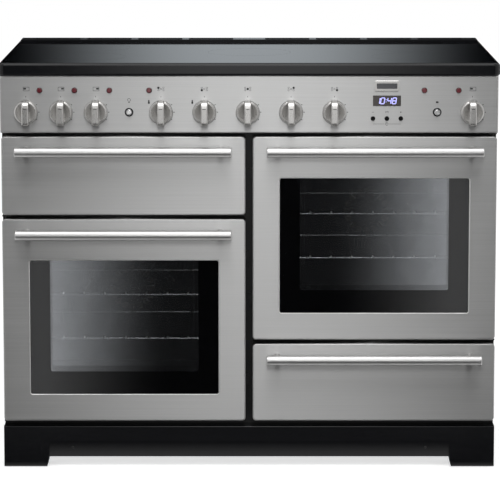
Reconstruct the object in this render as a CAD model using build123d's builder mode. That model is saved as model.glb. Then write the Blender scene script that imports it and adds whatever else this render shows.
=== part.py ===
from build123d import *
import os

# Induction range cooker: a glass hob over two side-hung ovens, a glide-out grill and a storage drawer.
# Millimetres. X runs to the right as seen from the front, Y to the back and Z up.
# The origin is on the floor, in the middle of the footprint.

os.makedirs("parts", exist_ok=True)

# Overall sizes
body_width = 1092.0
body_depth = 608.0
handle_projection = 46.0
hob_overhang = 4.0
cover_recess = 18.0

# Heights of the front, from the floor up
plinth_height = 93.0
plinth_gap = 14.0
door_height = 453.0
front_gap = 9.0
drawer_height = 174.0
panel_gap = 8.0
panel_height = 126.0
trim_height = 28.0

# Widths and depths of the front
column_gap = 15.0
side_inset = 1.5
front_depth = 44.0
door_gap = 3.0
corner_radius = 8.0
edge_radius = 3.0

# Sheet metal and fits
sheet = 1.5
frame_sheet = 2.0
base_sheet = 2.0
base_lip = 20.0
liner_sheet = 1.2
running_clearance = 0.05
fit_clearance = 0.2
slide_clearance = 0.3
end_gap = 1.0

# Plinth and feet
plinth_setback = 8.0
plinth_depth = 60.0
plinth_wall = 3.0
plinth_floor_gap = 2.0
plinth_block_width = 100.0
plinth_arch = 21.0
plinth_slope_height = 38.0
plinth_slope = 14.0
plinth_block_taper = 4.0
plinth_edge_radius = 2.0
foot_radius = 24.0
foot_pad_height = 12.0
foot_stem_radius = 6.0
foot_side_inset = 62.0
foot_front_inset = 60.0
foot_back_inset = 70.0

# Hob
hob_corner_radius = 14.0
hob_edge_radius = 8.0
hob_foot_radius = 5.0
hob_rim = 12.0
glass_thickness = 6.0
glass_gap = 0.5
glass_ledge = 10.0
glass_corner_radius = 6.0
vent_depth = 62.0
vent_height = 6.0
vent_end_inset = 8.0
vent_front_margin = 4.0
vent_slot_corner = 4.0
vent_bevel = 1.5
vent_slot_width = 105.0
vent_slot_depth = 36.0
vent_bridge = 16.0
vent_centre_bridge = 76.0
vent_end_margin = 20.0
coil_radius = 100.0
coil_thickness = 12.0
coil_hole_radius = 22.0
coil_side_x = 370.0
coil_pitch_y = 230.0

# Oven cavities
cavity_width = 440.0
cavity_height = 365.0
cavity_depth = 430.0
cavity_corner = 14.0
liner_flange = 16.0
seal_width = 10.0
seal_inset = 5.0

# Oven shelves and their side supports
shelf_levels = (126.0, 226.0)
shelf_front = 40.0
shelf_back_gap = 10.0
shelf_rod_radius = 3.0
shelf_wire_radius = 1.8
shelf_wire_pitch = 46.5
shelf_corner = 14.0
support_rod_radius = 3.0
support_inset = 30.0
support_rise = 30.0
weld_bite = 1.0

# Convection fan behind its cover
fan_zone = 40.0
fan_cover_size = 290.0
fan_cover_holes = 16
fan_cover_hole_radius = 8.0
fan_cover_ring_radius = 46.0
fan_cover_slots = 6
fan_cover_slot_x = 112.0
fan_cover_slot_pitch = 34.0
fan_cover_slot_length = 36.0
fan_cover_slot_width = 7.0
fan_radius = 74.0
fan_width = 24.0
fan_blades = 8
fan_blade_thickness = 1.5
fan_hub_radius = 12.0
fan_wall_gap = 6.0
shaft_radius = 4.0
shaft_hole_gap = 2.0
motor_radius = 36.0
motor_length = 50.0
motor_bore_depth = 36.0
element_ring_radius = 96.0
element_radius = 4.0
element_foot_half = 14.0
element_foot = 2.0

# Grill and storage drawers
grill_height = 140.0
tub_height = 124.0
tub_depth = 400.0
tub_wall = 1.2
carriage_depth = 380.0
carriage_height = 34.0
carriage_rise = 16.0
carriage_ledge = 16.0
runner_lip = 8.0
runner_sheet = 1.5
runner_drop = 20.0
rail_sheet = 2.0
rail_clearance = 1.5
rail_foot = 14.0
mouth_clearance = 4.0
pan_height = 30.0
pan_wall = 1.2
pan_clearance = 2.0
trivet_leg = 12.0
trivet_wire_radius = 2.5
trivet_wire_count = 11
trivet_inset = 12.0
grill_element_drop = 16.0
grill_element_reach = 330.0
grill_element_pitch = 100.0
grill_element_bend = 36.0
bend_share = 0.45
grill_element_turn_back = 60.0

# Oven doors
window_width = 420.0
window_height = 303.0
window_bottom_margin = 59.0
window_corner = 6.0
pane_thickness = 4.0
pane_lap = 10.0
inner_window_width = 384.0
inner_window_height = 274.0
liner_lip = 6.0
hinge_inset = 8.0
hinge_setback = 12.0
hinge_pin_radius = 4.0
hinge_pin_depth = 24.0
hinge_plate = 3.0
hinge_plate_width = 18.0
hinge_clearance = 2.5
hinge_boss_height = 26.0
hinge_boss_wall = 5.0
hinge_hole_gap = 1.0
catch_spread = 280.0
catch_height = 22.0
catch_depth = 14.0
catch_width = 6.0
catch_clearance = 0.5

# Handles
handle_length = 474.0
handle_radius = 11.0
handle_post_pitch = 427.0
handle_post_radius = 5.5
handle_foot_radius = 9.0
handle_foot_length = 8.0
handle_drop = 31.0
handle_end_radius = 1.5

# Knobs and their switches
knob_rise = 46.0
knob_radius = 26.0
knob_skirt = 9.0
knob_skirt_round = 4.5
knob_rim = 5.0
knob_dish_depth = 5.0
knob_grip_width = 15.5
knob_grip_length = 54.0
knob_reach = 32.0
knob_grip_round = 2.5
knob_nose_radius = 16.0
knob_tail_radius = 6.0
knob_gap = 0.8
spindle_radius = 3.0
spindle_depth = 22.0
spindle_hole_gap = 1.0
switch_radius = 18.0
switch_depth = 34.0
oven_knob_x = 489.0
oven_knob_pitch = 76.5
hob_knob_pitch = 95.0
hob_knob_middle_x = -3.0

# Push buttons, neon lenses and clock
button_radius = 6.3
button_reach = 5.0
button_round = 2.0
button_travel = 3.0
button_gap = 0.4
button_stem_radius = 2.5
button_stem_depth = 18.0
button_switch_radius = 11.0
button_switch_depth = 26.0
left_button_x = 263.0
right_button_x = 412.0
lens_radius = 5.6
lens_reach = 3.0
lens_round = 2.0
lens_flange = 2.0
lens_flange_depth = 2.0
lens_above_knob = 48.0
lens_beside_knob = 30.0
lens_beside_button = 28.0
fourth_lens_x = 219.0
clock_x = 302.0
clock_width = 61.0
clock_height = 23.0
clock_above_knob = 25.0
clock_proud = 0.5
clock_module_border = 10.0
clock_module_depth = 30.0
clock_button_pitch = 30.5
clock_button_radius = 4.8
clock_button_reach = 2.6
clock_button_round = 1.0
clock_button_travel = 1.5
clock_button_below_knob = 14.0

# Mains terminal box on the back
terminal_width = 130.0
terminal_height = 90.0
terminal_depth = 18.0
terminal_wall = 2.0
terminal_rise = 120.0
terminal_x = 330.0
inlet_radius = 10.0
inlet_length = 14.0
inlet_wall = 3.0

# Cooling louvres in the rear cover
louvre_length = 46.0
louvre_width = 6.0
louvre_columns = 9
louvre_rows = 4
louvre_pitch_x = 88.0
louvre_pitch_z = 22.0
louvre_drop = 110.0

# Places that follow from the sizes above
half_width = body_width / 2
back_y = (body_depth + handle_projection) / 2
face_y = back_y - body_depth
door_back_y = face_y + front_depth
frame_y = door_back_y + door_gap
frame_back_y = frame_y + frame_sheet
cover_y = back_y - cover_recess
cover_inner_y = cover_y - sheet
base_z = plinth_height
front_bottom_z = base_z + plinth_gap
front_top_z = front_bottom_z + door_height + front_gap + drawer_height
panel_bottom_z = front_top_z + panel_gap
panel_top_z = panel_bottom_z + panel_height
hob_z = panel_top_z + trim_height
door_width = (body_width - column_gap) / 2 - side_inset
column_x = (column_gap + door_width) / 2
left_door_z = front_bottom_z + door_height / 2
grill_z = front_top_z - drawer_height / 2
right_door_z = front_top_z - door_height / 2
storage_z = front_bottom_z + drawer_height / 2
cavity_back_y = frame_back_y + cavity_depth
knob_z = panel_bottom_z + knob_rise
carriage_width = cavity_width - 2 * (rail_sheet + rail_clearance + runner_lip)
hob_half = half_width + hob_overhang
vent_step = vent_slot_width + vent_bridge
vent_run = hob_half - vent_end_inset - vent_end_margin - vent_centre_bridge / 2
vents_per_side = int((vent_run + vent_bridge) / vent_step)
shelf_depth = cavity_depth - fan_zone - shelf_front - shelf_back_gap


def save(builder, name):
    """Labels a finished piece and writes it to its own file."""
    builder.part.label = name
    export_step(builder.part, f"parts/{name}.step")
    print(name, len(builder.part.solids()))


def block(x_span, y_span, z_span, mode=Mode.ADD):
    """A box between two values on each axis, in the part that is being made."""
    spans = (x_span, y_span, z_span)
    with Locations(tuple((low + high) / 2 for low, high in spans)):
        Box(*(high - low for low, high in spans), mode=mode)


def rod(radius, start, end, mode=Mode.ADD):
    """A round rod from one point to another, in the part that is being made."""
    run = Vector(*end) - Vector(*start)
    with Locations(Plane(origin=start, z_dir=run)):
        Cylinder(radius, run.length, align=(Align.CENTER, Align.CENTER, Align.MIN), mode=mode)


def facing(x, y, z):
    """A plane that looks out of the front: its X is to the right, its Y is up."""
    return Plane(origin=(x, y, z), x_dir=(1, 0, 0), z_dir=(0, -1, 0))


# Base tray with upturned edges, between the side panels
tray_half = half_width - sheet
with BuildPart() as base_tray:
    block((-tray_half, tray_half), (frame_back_y, cover_inner_y), (base_z, base_z + base_lip))
    block(
        (base_sheet - tray_half, tray_half - base_sheet),
        (frame_back_y + base_sheet, cover_inner_y - base_sheet),
        (base_z + base_sheet, base_z + base_lip),
        mode=Mode.SUBTRACT,
    )
save(base_tray, "base_tray")

# Side panels, from the base tray's underside to the hob
for side, name in ((-1, "left_side_panel"), (1, "right_side_panel")):
    side_edges = sorted((side * half_width, side * tray_half))
    with BuildPart() as side_panel:
        block(side_edges, (frame_back_y, cover_inner_y), (base_z, panel_top_z))
    save(side_panel, name)

# Rear cover with rows of cooling louvres
body_middle_z = (base_z + panel_top_z) / 2
louvre_z = panel_top_z - louvre_drop - body_middle_z
with BuildPart() as rear_cover:
    with BuildSketch(facing(0, cover_y, body_middle_z)):
        Rectangle(body_width, panel_top_z - base_z)
        with Locations((0, louvre_z)):
            with GridLocations(louvre_pitch_x, louvre_pitch_z, louvre_columns, louvre_rows):
                SlotOverall(louvre_length, louvre_width, mode=Mode.SUBTRACT)
    extrude(amount=sheet)
save(rear_cover, "rear_cover")

# Front frame: the plate behind the doors, open at each cavity and drawer
tub_mouth = tub_height + 2 * mouth_clearance
mouths = (
    (-column_x, left_door_z, cavity_height),
    (column_x, right_door_z, cavity_height),
    (-column_x, grill_z, grill_height),
    (column_x, storage_z, tub_mouth),
)
with BuildPart() as front_frame:
    with BuildSketch(facing(0, frame_back_y, body_middle_z)):
        Rectangle(body_width, panel_top_z - base_z)
        for mouth_x, mouth_z, mouth_height in mouths:
            with Locations((mouth_x, mouth_z - body_middle_z)):
                RectangleRounded(cavity_width, mouth_height, cavity_corner, mode=Mode.SUBTRACT)
    extrude(amount=frame_sheet)
save(front_frame, "front_frame")

# Plinth: a shell open at the back and below, arched between two end blocks
plinth_y = face_y + plinth_setback
arch_half = half_width - plinth_block_width
plinth_span = (plinth_y, plinth_y + plinth_depth)
arch_floor = plinth_arch - plinth_floor_gap
with BuildPart() as plinth:
    with BuildSketch(facing(0, plinth_y, plinth_floor_gap)):
        with BuildLine():
            Polyline(
                (-half_width, 0),
                (-arch_half - plinth_block_taper, 0),
                (-arch_half, arch_floor),
                (arch_half, arch_floor),
                (arch_half + plinth_block_taper, 0),
                (half_width, 0),
                (half_width, plinth_height - plinth_floor_gap),
                (-half_width, plinth_height - plinth_floor_gap),
                close=True,
            )
        make_face()
    extrude(amount=-plinth_depth)
    fillet(plinth.faces().sort_by(Axis.Z)[-1].edges().sort_by(Axis.Y)[0], plinth_edge_radius)
    # The foot of the middle stretch leans back between the end blocks.
    with BuildSketch(Plane.YZ.offset(-arch_half)):
        with BuildLine():
            Polyline(
                (plinth_y, plinth_arch + plinth_slope_height),
                (plinth_y, plinth_arch),
                (plinth_y + plinth_slope, plinth_arch),
                close=True,
            )
        make_face()
    extrude(amount=2 * arch_half, mode=Mode.SUBTRACT)
    block(
        (-arch_half, arch_half),
        (plinth_y + plinth_slope + plinth_wall, plinth_span[1]),
        (plinth_arch, plinth_height - plinth_wall),
        mode=Mode.SUBTRACT,
    )
    for side in (-1, 1):
        pocket = sorted((side * (arch_half + plinth_block_taper + plinth_wall), side * (half_width - plinth_wall)))
        block(
            pocket,
            (plinth_y + plinth_wall, plinth_span[1]),
            (plinth_floor_gap, plinth_height - plinth_wall),
            mode=Mode.SUBTRACT,
        )
save(plinth, "plinth")

# Levelling feet: a pad on a threaded stem under each corner of the base tray
foot_x = half_width - foot_side_inset
with BuildPart() as levelling_feet:
    for x in (-foot_x, foot_x):
        for y in (plinth_span[1] + foot_front_inset, cover_y - foot_back_inset):
            rod(foot_radius, (x, y, 0), (x, y, foot_pad_height))
            rod(foot_stem_radius, (x, y, foot_pad_height), (x, y, base_z))
save(levelling_feet, "levelling_feet")

# Hob trim: a ring round the glass, with a slot for the vents along its back
hob_front_y = face_y - hob_overhang
hob_middle_y = (hob_front_y + back_y) / 2
glass_width = 2 * (hob_half - hob_rim)
glass_back_y = back_y - vent_depth
glass_depth = glass_back_y - hob_front_y - hob_rim
glass_middle_y = glass_back_y - glass_depth / 2
vent_front_y = glass_back_y + glass_gap
vent_slot_y = vent_front_y + vent_front_margin + vent_slot_depth / 2
vent_first_x = (vent_centre_bridge + vent_slot_width) / 2
vent_places = [
    (side * (vent_first_x + index * vent_step), vent_slot_y)
    for side in (-1, 1)
    for index in range(vents_per_side)
]
vent_span = 2 * (vent_first_x + (vents_per_side - 1) * vent_step) + vent_slot_width
with BuildPart() as hob_trim:
    with BuildSketch(Plane.XY.offset(panel_top_z)):
        with Locations((0, hob_middle_y)):
            RectangleRounded(2 * hob_half, back_y - hob_front_y, hob_corner_radius)
    extrude(amount=trim_height)
    fillet(hob_trim.faces().sort_by(Axis.Z)[-1].edges(), hob_edge_radius)
    fillet(hob_trim.faces().sort_by(Axis.Z)[0].edges(), hob_foot_radius)
    with BuildSketch(Plane.XY.offset(hob_z - glass_thickness)):
        with Locations((0, glass_middle_y)):
            RectangleRounded(
                glass_width + 2 * glass_gap,
                glass_depth + 2 * glass_gap,
                glass_corner_radius + glass_gap,
            )
    extrude(amount=glass_thickness, mode=Mode.SUBTRACT)
    with BuildSketch(Plane.XY.offset(panel_top_z)):
        with Locations((0, glass_middle_y)):
            Rectangle(glass_width - 2 * glass_ledge, glass_depth - 2 * glass_ledge)
        with Locations((0, vent_slot_y)):
            Rectangle(vent_span, vent_slot_depth)
    extrude(amount=trim_height, mode=Mode.SUBTRACT)
save(hob_trim, "hob_trim")

# Hob glass, flush with the rim of its trim
with BuildPart() as hob_glass:
    with BuildSketch(Plane.XY.offset(hob_z - glass_thickness)):
        with Locations((0, glass_middle_y)):
            RectangleRounded(glass_width, glass_depth, glass_corner_radius)
    extrude(amount=glass_thickness)
save(hob_glass, "hob_glass")

# Rear vent trim: a slotted strip on the back of the hob trim
vent_back_y = back_y - hob_edge_radius
with BuildPart() as rear_vent_trim:
    with BuildSketch(Plane.XY.offset(hob_z)):
        with Locations((0, (vent_front_y + vent_back_y) / 2)):
            Rectangle(2 * (hob_half - vent_end_inset), vent_back_y - vent_front_y)
        with Locations(*vent_places):
            RectangleRounded(vent_slot_width, vent_slot_depth, vent_slot_corner, mode=Mode.SUBTRACT)
    extrude(amount=vent_height)
    chamfer(rear_vent_trim.faces().sort_by(Axis.Z)[-1].outer_wire().edges(), vent_bevel)
save(rear_vent_trim, "rear_vent_trim")

# Induction coils, pressed against the underside of the glass
coil_top_z = hob_z - glass_thickness
coil_places = [(0, glass_middle_y)]
for x in (-coil_side_x, coil_side_x):
    for step in (-0.5, 0.5):
        coil_places.append((x, glass_middle_y + step * coil_pitch_y))
with BuildPart() as induction_coils:
    with BuildSketch(Plane.XY.offset(coil_top_z)):
        with Locations(*coil_places):
            Circle(coil_radius)
            Circle(coil_hole_radius, mode=Mode.SUBTRACT)
    extrude(amount=-coil_thickness)
save(induction_coils, "induction_coils")

# Places of the controls along the panel
knob_places = {
    "grill_knob": -oven_knob_x,
    "left_oven_function_knob": -oven_knob_x + oven_knob_pitch,
    "left_oven_temperature_knob": -oven_knob_x + 2 * oven_knob_pitch,
    "hob_zone_1_knob": hob_knob_middle_x - 2 * hob_knob_pitch,
    "hob_zone_2_knob": hob_knob_middle_x - hob_knob_pitch,
    "hob_zone_3_knob": hob_knob_middle_x,
    "hob_zone_4_knob": hob_knob_middle_x + hob_knob_pitch,
    "hob_zone_5_knob": hob_knob_middle_x + 2 * hob_knob_pitch,
    "right_oven_knob": oven_knob_x,
}
button_places = {"oven_light_button": -left_button_x, "timer_button": right_button_x}
lens_z = knob_z + lens_above_knob
lens_places = [-oven_knob_x + index * oven_knob_pitch + lens_beside_knob for index in range(3)]
lens_places += [-fourth_lens_x, right_button_x - lens_beside_button, oven_knob_x - lens_beside_knob]
clock_z = knob_z + clock_above_knob
clock_button_z = knob_z - clock_button_below_knob
clock_button_places = {
    "clock_left_button": clock_x - clock_button_pitch,
    "clock_middle_button": clock_x,
    "clock_right_button": clock_x + clock_button_pitch,
}
panel_inner_y = face_y + sheet

# Control panel: a folded cover that is open at the back and has a hole for each control
panel_middle_z = (panel_bottom_z + panel_top_z) / 2
with BuildPart() as control_panel:
    with BuildSketch(facing(0, face_y, panel_middle_z)):
        Rectangle(body_width, panel_height)
    extrude(amount=face_y - frame_y)
    fillet(control_panel.faces().sort_by(Axis.Y)[0].edges(), edge_radius)
    with BuildSketch(facing(0, panel_inner_y, panel_middle_z)):
        Rectangle(body_width - 2 * sheet, panel_height - 2 * sheet)
    extrude(amount=panel_inner_y - frame_y, mode=Mode.SUBTRACT)
    with BuildSketch(facing(0, face_y, 0)):
        with Locations(*((x, knob_z) for x in knob_places.values())):
            Circle(spindle_radius + spindle_hole_gap)
        with Locations(*((x, knob_z) for x in button_places.values())):
            Circle(button_radius + button_gap)
        with Locations(*((x, lens_z) for x in lens_places)):
            Circle(lens_radius + fit_clearance)
        with Locations(*((x, clock_button_z) for x in clock_button_places.values())):
            Circle(clock_button_radius + button_gap)
        with Locations((clock_x, clock_z)):
            Rectangle(clock_width + 2 * fit_clearance, clock_height + 2 * fit_clearance)
    extrude(amount=-sheet, mode=Mode.SUBTRACT)
save(control_panel, "control_panel")


def button_socket(x, z, cap_radius, travel):
    """Sinks a cap's well and a stem's bore into the switch or module that is being made."""
    well_y = panel_inner_y + travel + end_gap
    bore_y = panel_inner_y + button_stem_depth + travel + end_gap
    rod(cap_radius + button_gap, (x, panel_inner_y, z), (x, well_y, z), mode=Mode.SUBTRACT)
    rod(
        button_stem_radius + running_clearance,
        (x, panel_inner_y, z),
        (x, bore_y, z),
        mode=Mode.SUBTRACT,
    )


# Switches behind the panel: one for each knob and each push button
with BuildPart() as control_switches:
    for x in knob_places.values():
        rod(switch_radius, (x, panel_inner_y, knob_z), (x, panel_inner_y + switch_depth, knob_z))
        rod(
            spindle_radius + running_clearance,
            (x, panel_inner_y, knob_z),
            (x, panel_inner_y + spindle_depth + end_gap, knob_z),
            mode=Mode.SUBTRACT,
        )
    for x in button_places.values():
        rod(
            button_switch_radius,
            (x, panel_inner_y, knob_z),
            (x, panel_inner_y + button_switch_depth, knob_z),
        )
        button_socket(x, knob_z, button_radius, button_travel)
save(control_switches, "control_switches")

# Neon indicator lenses, held by a flange behind the panel
with BuildPart() as indicator_lenses:
    for x in lens_places:
        rod(lens_radius, (x, face_y - lens_reach, lens_z), (x, panel_inner_y, lens_z))
        rod(
            lens_radius + lens_flange,
            (x, panel_inner_y, lens_z),
            (x, panel_inner_y + lens_flange_depth, lens_z),
        )
    fillet(indicator_lenses.edges().group_by(Axis.Y)[0], lens_round)
save(indicator_lenses, "indicator_lenses")

# Clock display: a module behind the panel whose window fills the cut-out
module_half = clock_width / 2 + clock_module_border
module_bottom_z = clock_button_z - clock_button_radius - clock_module_border
module_top_z = clock_z + clock_height / 2 + clock_module_border
with BuildPart() as clock_display:
    block(
        (clock_x - module_half, clock_x + module_half),
        (panel_inner_y, panel_inner_y + clock_module_depth),
        (module_bottom_z, module_top_z),
    )
    block(
        (clock_x - clock_width / 2, clock_x + clock_width / 2),
        (face_y - clock_proud, panel_inner_y),
        (clock_z - clock_height / 2, clock_z + clock_height / 2),
    )
    for x in clock_button_places.values():
        button_socket(x, clock_button_z, clock_button_radius, clock_button_travel)
save(clock_display, "clock_display")

# Knobs: a hollowed skirt with a bar grip, on a spindle that turns in its switch
knob_back_y = face_y - knob_gap
knob_dish_radius = knob_radius - knob_rim
dish_sphere_radius = (knob_dish_radius**2 + knob_dish_depth**2) / (2 * knob_dish_depth)
dish_centre_y = knob_back_y - knob_skirt + knob_dish_depth - dish_sphere_radius


def knob_grip(x):
    """The bar across a knob, with a round nose at its upper end and a smaller round below."""
    with BuildPart() as grip:
        with BuildSketch(Plane.YZ.offset(x - knob_grip_width / 2)) as profile:
            with Locations((knob_back_y - knob_reach / 2, knob_z)):
                Rectangle(knob_reach, knob_grip_length)
            fillet(profile.vertices().group_by(Axis.X)[0].sort_by(Axis.Y)[-1], knob_nose_radius)
            fillet(profile.vertices().group_by(Axis.X)[0].sort_by(Axis.Y)[0], knob_tail_radius)
        extrude(amount=knob_grip_width)
        rims = grip.faces().filter_by(Axis.X).edges()
        fillet(rims - grip.faces().sort_by(Axis.Y)[-1].edges(), knob_grip_round)
    return grip


for name, x in knob_places.items():
    grip = knob_grip(x)
    with BuildPart() as knob:
        with BuildSketch(facing(x, knob_back_y, knob_z)):
            Circle(knob_radius)
        extrude(amount=knob_skirt)
        fillet(knob.edges().group_by(Axis.Y)[0], knob_skirt_round)
        with Locations((x, dish_centre_y, knob_z)):
            Sphere(dish_sphere_radius, mode=Mode.SUBTRACT)
        add(grip.part)
        rod(spindle_radius, (x, knob_back_y, knob_z), (x, panel_inner_y + spindle_depth, knob_z))
    save(knob, name)


def push_button(x, z, cap_radius, reach, rounding):
    """A round cap that stands out of the panel, on a stem that slides in its switch."""
    with BuildPart() as button:
        rod(cap_radius, (x, face_y - reach, z), (x, panel_inner_y, z))
        fillet(button.edges().group_by(Axis.Y)[0], rounding)
        rod(button_stem_radius, (x, panel_inner_y, z), (x, panel_inner_y + button_stem_depth, z))
    return button


for name, x in button_places.items():
    save(push_button(x, knob_z, button_radius, button_reach, button_round), name)
for name, x in clock_button_places.items():
    clock_button = push_button(
        x, clock_button_z, clock_button_radius, clock_button_reach, clock_button_round
    )
    save(clock_button, name)

# Places of the two ovens
ovens = (("left", -1, left_door_z), ("right", 1, right_door_z))


def cavity_liner(x, z, height):
    """A five-sided enamelled box with a flange round its mouth, behind the front frame."""
    mouth = facing(x, frame_back_y, z)
    with BuildPart() as liner:
        with BuildSketch(mouth):
            RectangleRounded(
                cavity_width + 2 * liner_sheet,
                height + 2 * liner_sheet,
                cavity_corner + liner_sheet,
            )
        extrude(amount=-cavity_depth - liner_sheet)
        with BuildSketch(mouth):
            RectangleRounded(
                cavity_width + 2 * liner_flange,
                height + 2 * liner_flange,
                cavity_corner + liner_flange,
            )
        extrude(amount=-liner_sheet)
        with BuildSketch(mouth):
            RectangleRounded(cavity_width, height, cavity_corner)
        extrude(amount=-cavity_depth, mode=Mode.SUBTRACT)
    return liner


# Oven liners, with a hole for the fan shaft in the back wall
liner_back_y = cavity_back_y + liner_sheet
for name, side, oven_z in ovens:
    box = cavity_liner(side * column_x, oven_z, cavity_height)
    with BuildPart() as oven_liner:
        add(box.part)
        rod(
            shaft_radius + shaft_hole_gap,
            (side * column_x, cavity_back_y, oven_z),
            (side * column_x, liner_back_y, oven_z),
            mode=Mode.SUBTRACT,
        )
    save(oven_liner, f"{name}_oven_liner")

# Grill liner
save(cavity_liner(-column_x, grill_z, grill_height), "grill_liner")

# Rope seals round the oven mouths, on the front frame
seal_thickness = door_gap - slide_clearance
with BuildPart() as door_seals:
    for name, side, oven_z in ovens:
        with BuildSketch(facing(side * column_x, frame_y, oven_z)):
            for reach, mode in ((seal_inset + seal_width, Mode.ADD), (seal_inset, Mode.SUBTRACT)):
                RectangleRounded(
                    cavity_width + 2 * reach,
                    cavity_height + 2 * reach,
                    cavity_corner + reach,
                    mode=mode,
                )
        extrude(amount=seal_thickness)
save(door_seals, "door_seals")

# Shelf supports: upright rods on the side walls that carry a runner for each shelf
runner_inset = 3 * support_rod_radius - weld_bite
shelf_shift = 2 * weld_bite
shelf_rest = ((shelf_rod_radius + support_rod_radius) ** 2 - shelf_shift**2) ** 0.5
support_front_y = frame_back_y + support_inset
support_back_y = cavity_back_y - fan_zone - support_inset
with BuildPart() as shelf_supports:
    for name, side, oven_z in ovens:
        floor_z = oven_z - cavity_height / 2
        runner_levels = [floor_z + level - shelf_rest for level in shelf_levels]
        for wall in (-1, 1):
            wall_x = side * column_x + wall * cavity_width / 2
            upright_x = wall_x - wall * support_rod_radius
            runner_x = wall_x - wall * runner_inset
            for y in (support_front_y, support_back_y):
                rod(
                    support_rod_radius,
                    (upright_x, y, runner_levels[0] - support_rise),
                    (upright_x, y, runner_levels[-1] + support_rise),
                )
            for z in runner_levels:
                rod(
                    support_rod_radius,
                    (runner_x, support_front_y - support_rod_radius, z),
                    (runner_x, support_back_y + support_rod_radius, z),
                )
save(shelf_supports, "shelf_supports")

# Wire shelves: a bent rod frame with wires welded on top, lying on the runners
shelf_half = cavity_width / 2 - runner_inset - shelf_shift
shelf_front_y = frame_back_y + shelf_front
shelf_back_y = shelf_front_y + shelf_depth
wires_per_side = int(shelf_half / shelf_wire_pitch)
with BuildPart() as oven_shelves:
    for name, side, oven_z in ovens:
        for level in shelf_levels:
            shelf_z = oven_z - cavity_height / 2 + level
            middle_x = side * column_x
            with BuildLine(Plane.XY.offset(shelf_z)) as frame_line:
                FilletPolyline(
                    (middle_x - shelf_half, shelf_front_y),
                    (middle_x + shelf_half, shelf_front_y),
                    (middle_x + shelf_half, shelf_back_y),
                    (middle_x - shelf_half, shelf_back_y),
                    radius=shelf_corner,
                    close=True,
                )
            with BuildSketch(Plane(origin=frame_line.line @ 0, z_dir=frame_line.line % 0)):
                Circle(shelf_rod_radius)
            sweep(path=frame_line.line)
            wire_z = shelf_z + shelf_rod_radius + shelf_wire_radius - weld_bite
            for index in range(-wires_per_side, wires_per_side + 1):
                wire_x = middle_x + index * shelf_wire_pitch
                rod(
                    shelf_wire_radius,
                    (wire_x, shelf_front_y - shelf_rod_radius, wire_z),
                    (wire_x, shelf_back_y + shelf_rod_radius, wire_z),
                )
save(oven_shelves, "oven_shelves")

# Fan covers: perforated trays on the back walls
with BuildPart() as fan_covers:
    for name, side, oven_z in ovens:
        with BuildSketch(facing(side * column_x, cavity_back_y, oven_z)):
            RectangleRounded(fan_cover_size, fan_cover_size, cavity_corner)
        extrude(amount=fan_zone)
        with BuildSketch(facing(side * column_x, cavity_back_y, oven_z)):
            inner_size = fan_cover_size - 2 * liner_sheet
            RectangleRounded(inner_size, inner_size, cavity_corner - liner_sheet)
        extrude(amount=fan_zone - liner_sheet, mode=Mode.SUBTRACT)
        with BuildSketch(facing(side * column_x, cavity_back_y - fan_zone, oven_z)):
            with PolarLocations(fan_cover_ring_radius, fan_cover_holes):
                Circle(fan_cover_hole_radius)
            with GridLocations(2 * fan_cover_slot_x, fan_cover_slot_pitch, 2, fan_cover_slots):
                SlotOverall(fan_cover_slot_length, fan_cover_slot_width)
        extrude(amount=-liner_sheet, mode=Mode.SUBTRACT)
save(fan_covers, "fan_covers")

# Fan motors behind the back walls, each bored for its shaft
bore_end_y = liner_back_y + motor_bore_depth
with BuildPart() as fan_motors:
    for name, side, oven_z in ovens:
        x = side * column_x
        rod(motor_radius, (x, liner_back_y, oven_z), (x, liner_back_y + motor_length, oven_z))
        rod(
            shaft_radius + running_clearance,
            (x, liner_back_y, oven_z),
            (x, bore_end_y, oven_z),
            mode=Mode.SUBTRACT,
        )
save(fan_motors, "fan_motors")

# Convection fans: a disc with straight blades on a shaft
disc_y = cavity_back_y - fan_wall_gap
blade_length = fan_radius - fan_hub_radius + weld_bite
for name, side, oven_z in ovens:
    x = side * column_x
    with BuildPart() as oven_fan:
        with BuildSketch(facing(x, disc_y, oven_z)):
            Circle(fan_radius)
        extrude(amount=fan_blade_thickness)
        with BuildSketch(facing(x, disc_y, oven_z)):
            with PolarLocations(fan_radius - blade_length / 2, fan_blades):
                Rectangle(blade_length, fan_blade_thickness)
        extrude(amount=fan_width)
        rod(fan_hub_radius, (x, disc_y - fan_width, oven_z), (x, disc_y, oven_z))
        rod(shaft_radius, (x, disc_y, oven_z), (x, bore_end_y - end_gap, oven_z))
    save(oven_fan, f"{name}_oven_fan")

# Heating elements: a ring round each fan and a bent rod under the grill's roof
ring_y = cavity_back_y - fan_zone / 2
grill_rod_z = grill_z + grill_height / 2 - grill_element_drop
leg_x = [-column_x + (index - 1.5) * grill_element_pitch for index in range(4)]
leg_front_y = cavity_back_y - grill_element_reach
leg_turn_y = cavity_back_y - grill_element_turn_back
with BuildPart() as heating_elements:
    for name, side, oven_z in ovens:
        x = side * column_x
        with BuildSketch(Plane.XY.offset(oven_z)):
            with Locations((x + element_ring_radius, ring_y)):
                Circle(element_radius)
        revolve(axis=Axis((x, 0, oven_z), (0, 1, 0)))
        block(
            (x - element_foot_half, x + element_foot_half),
            (ring_y, cavity_back_y),
            (oven_z + element_ring_radius - element_foot, oven_z + element_ring_radius),
        )
    with BuildLine(Plane.XY.offset(grill_rod_z)) as grill_line:
        FilletPolyline(
            (leg_x[0], cavity_back_y),
            (leg_x[0], leg_front_y),
            (leg_x[1], leg_front_y),
            (leg_x[1], leg_turn_y),
            (leg_x[2], leg_turn_y),
            (leg_x[2], leg_front_y),
            (leg_x[3], leg_front_y),
            (leg_x[3], cavity_back_y),
            radius=min(grill_element_bend, bend_share * grill_element_pitch),
        )
    with BuildSketch(Plane(origin=grill_line.line @ 0, z_dir=grill_line.line % 0)):
        Circle(element_radius)
    sweep(path=grill_line.line)
save(heating_elements, "heating_elements")


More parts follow.
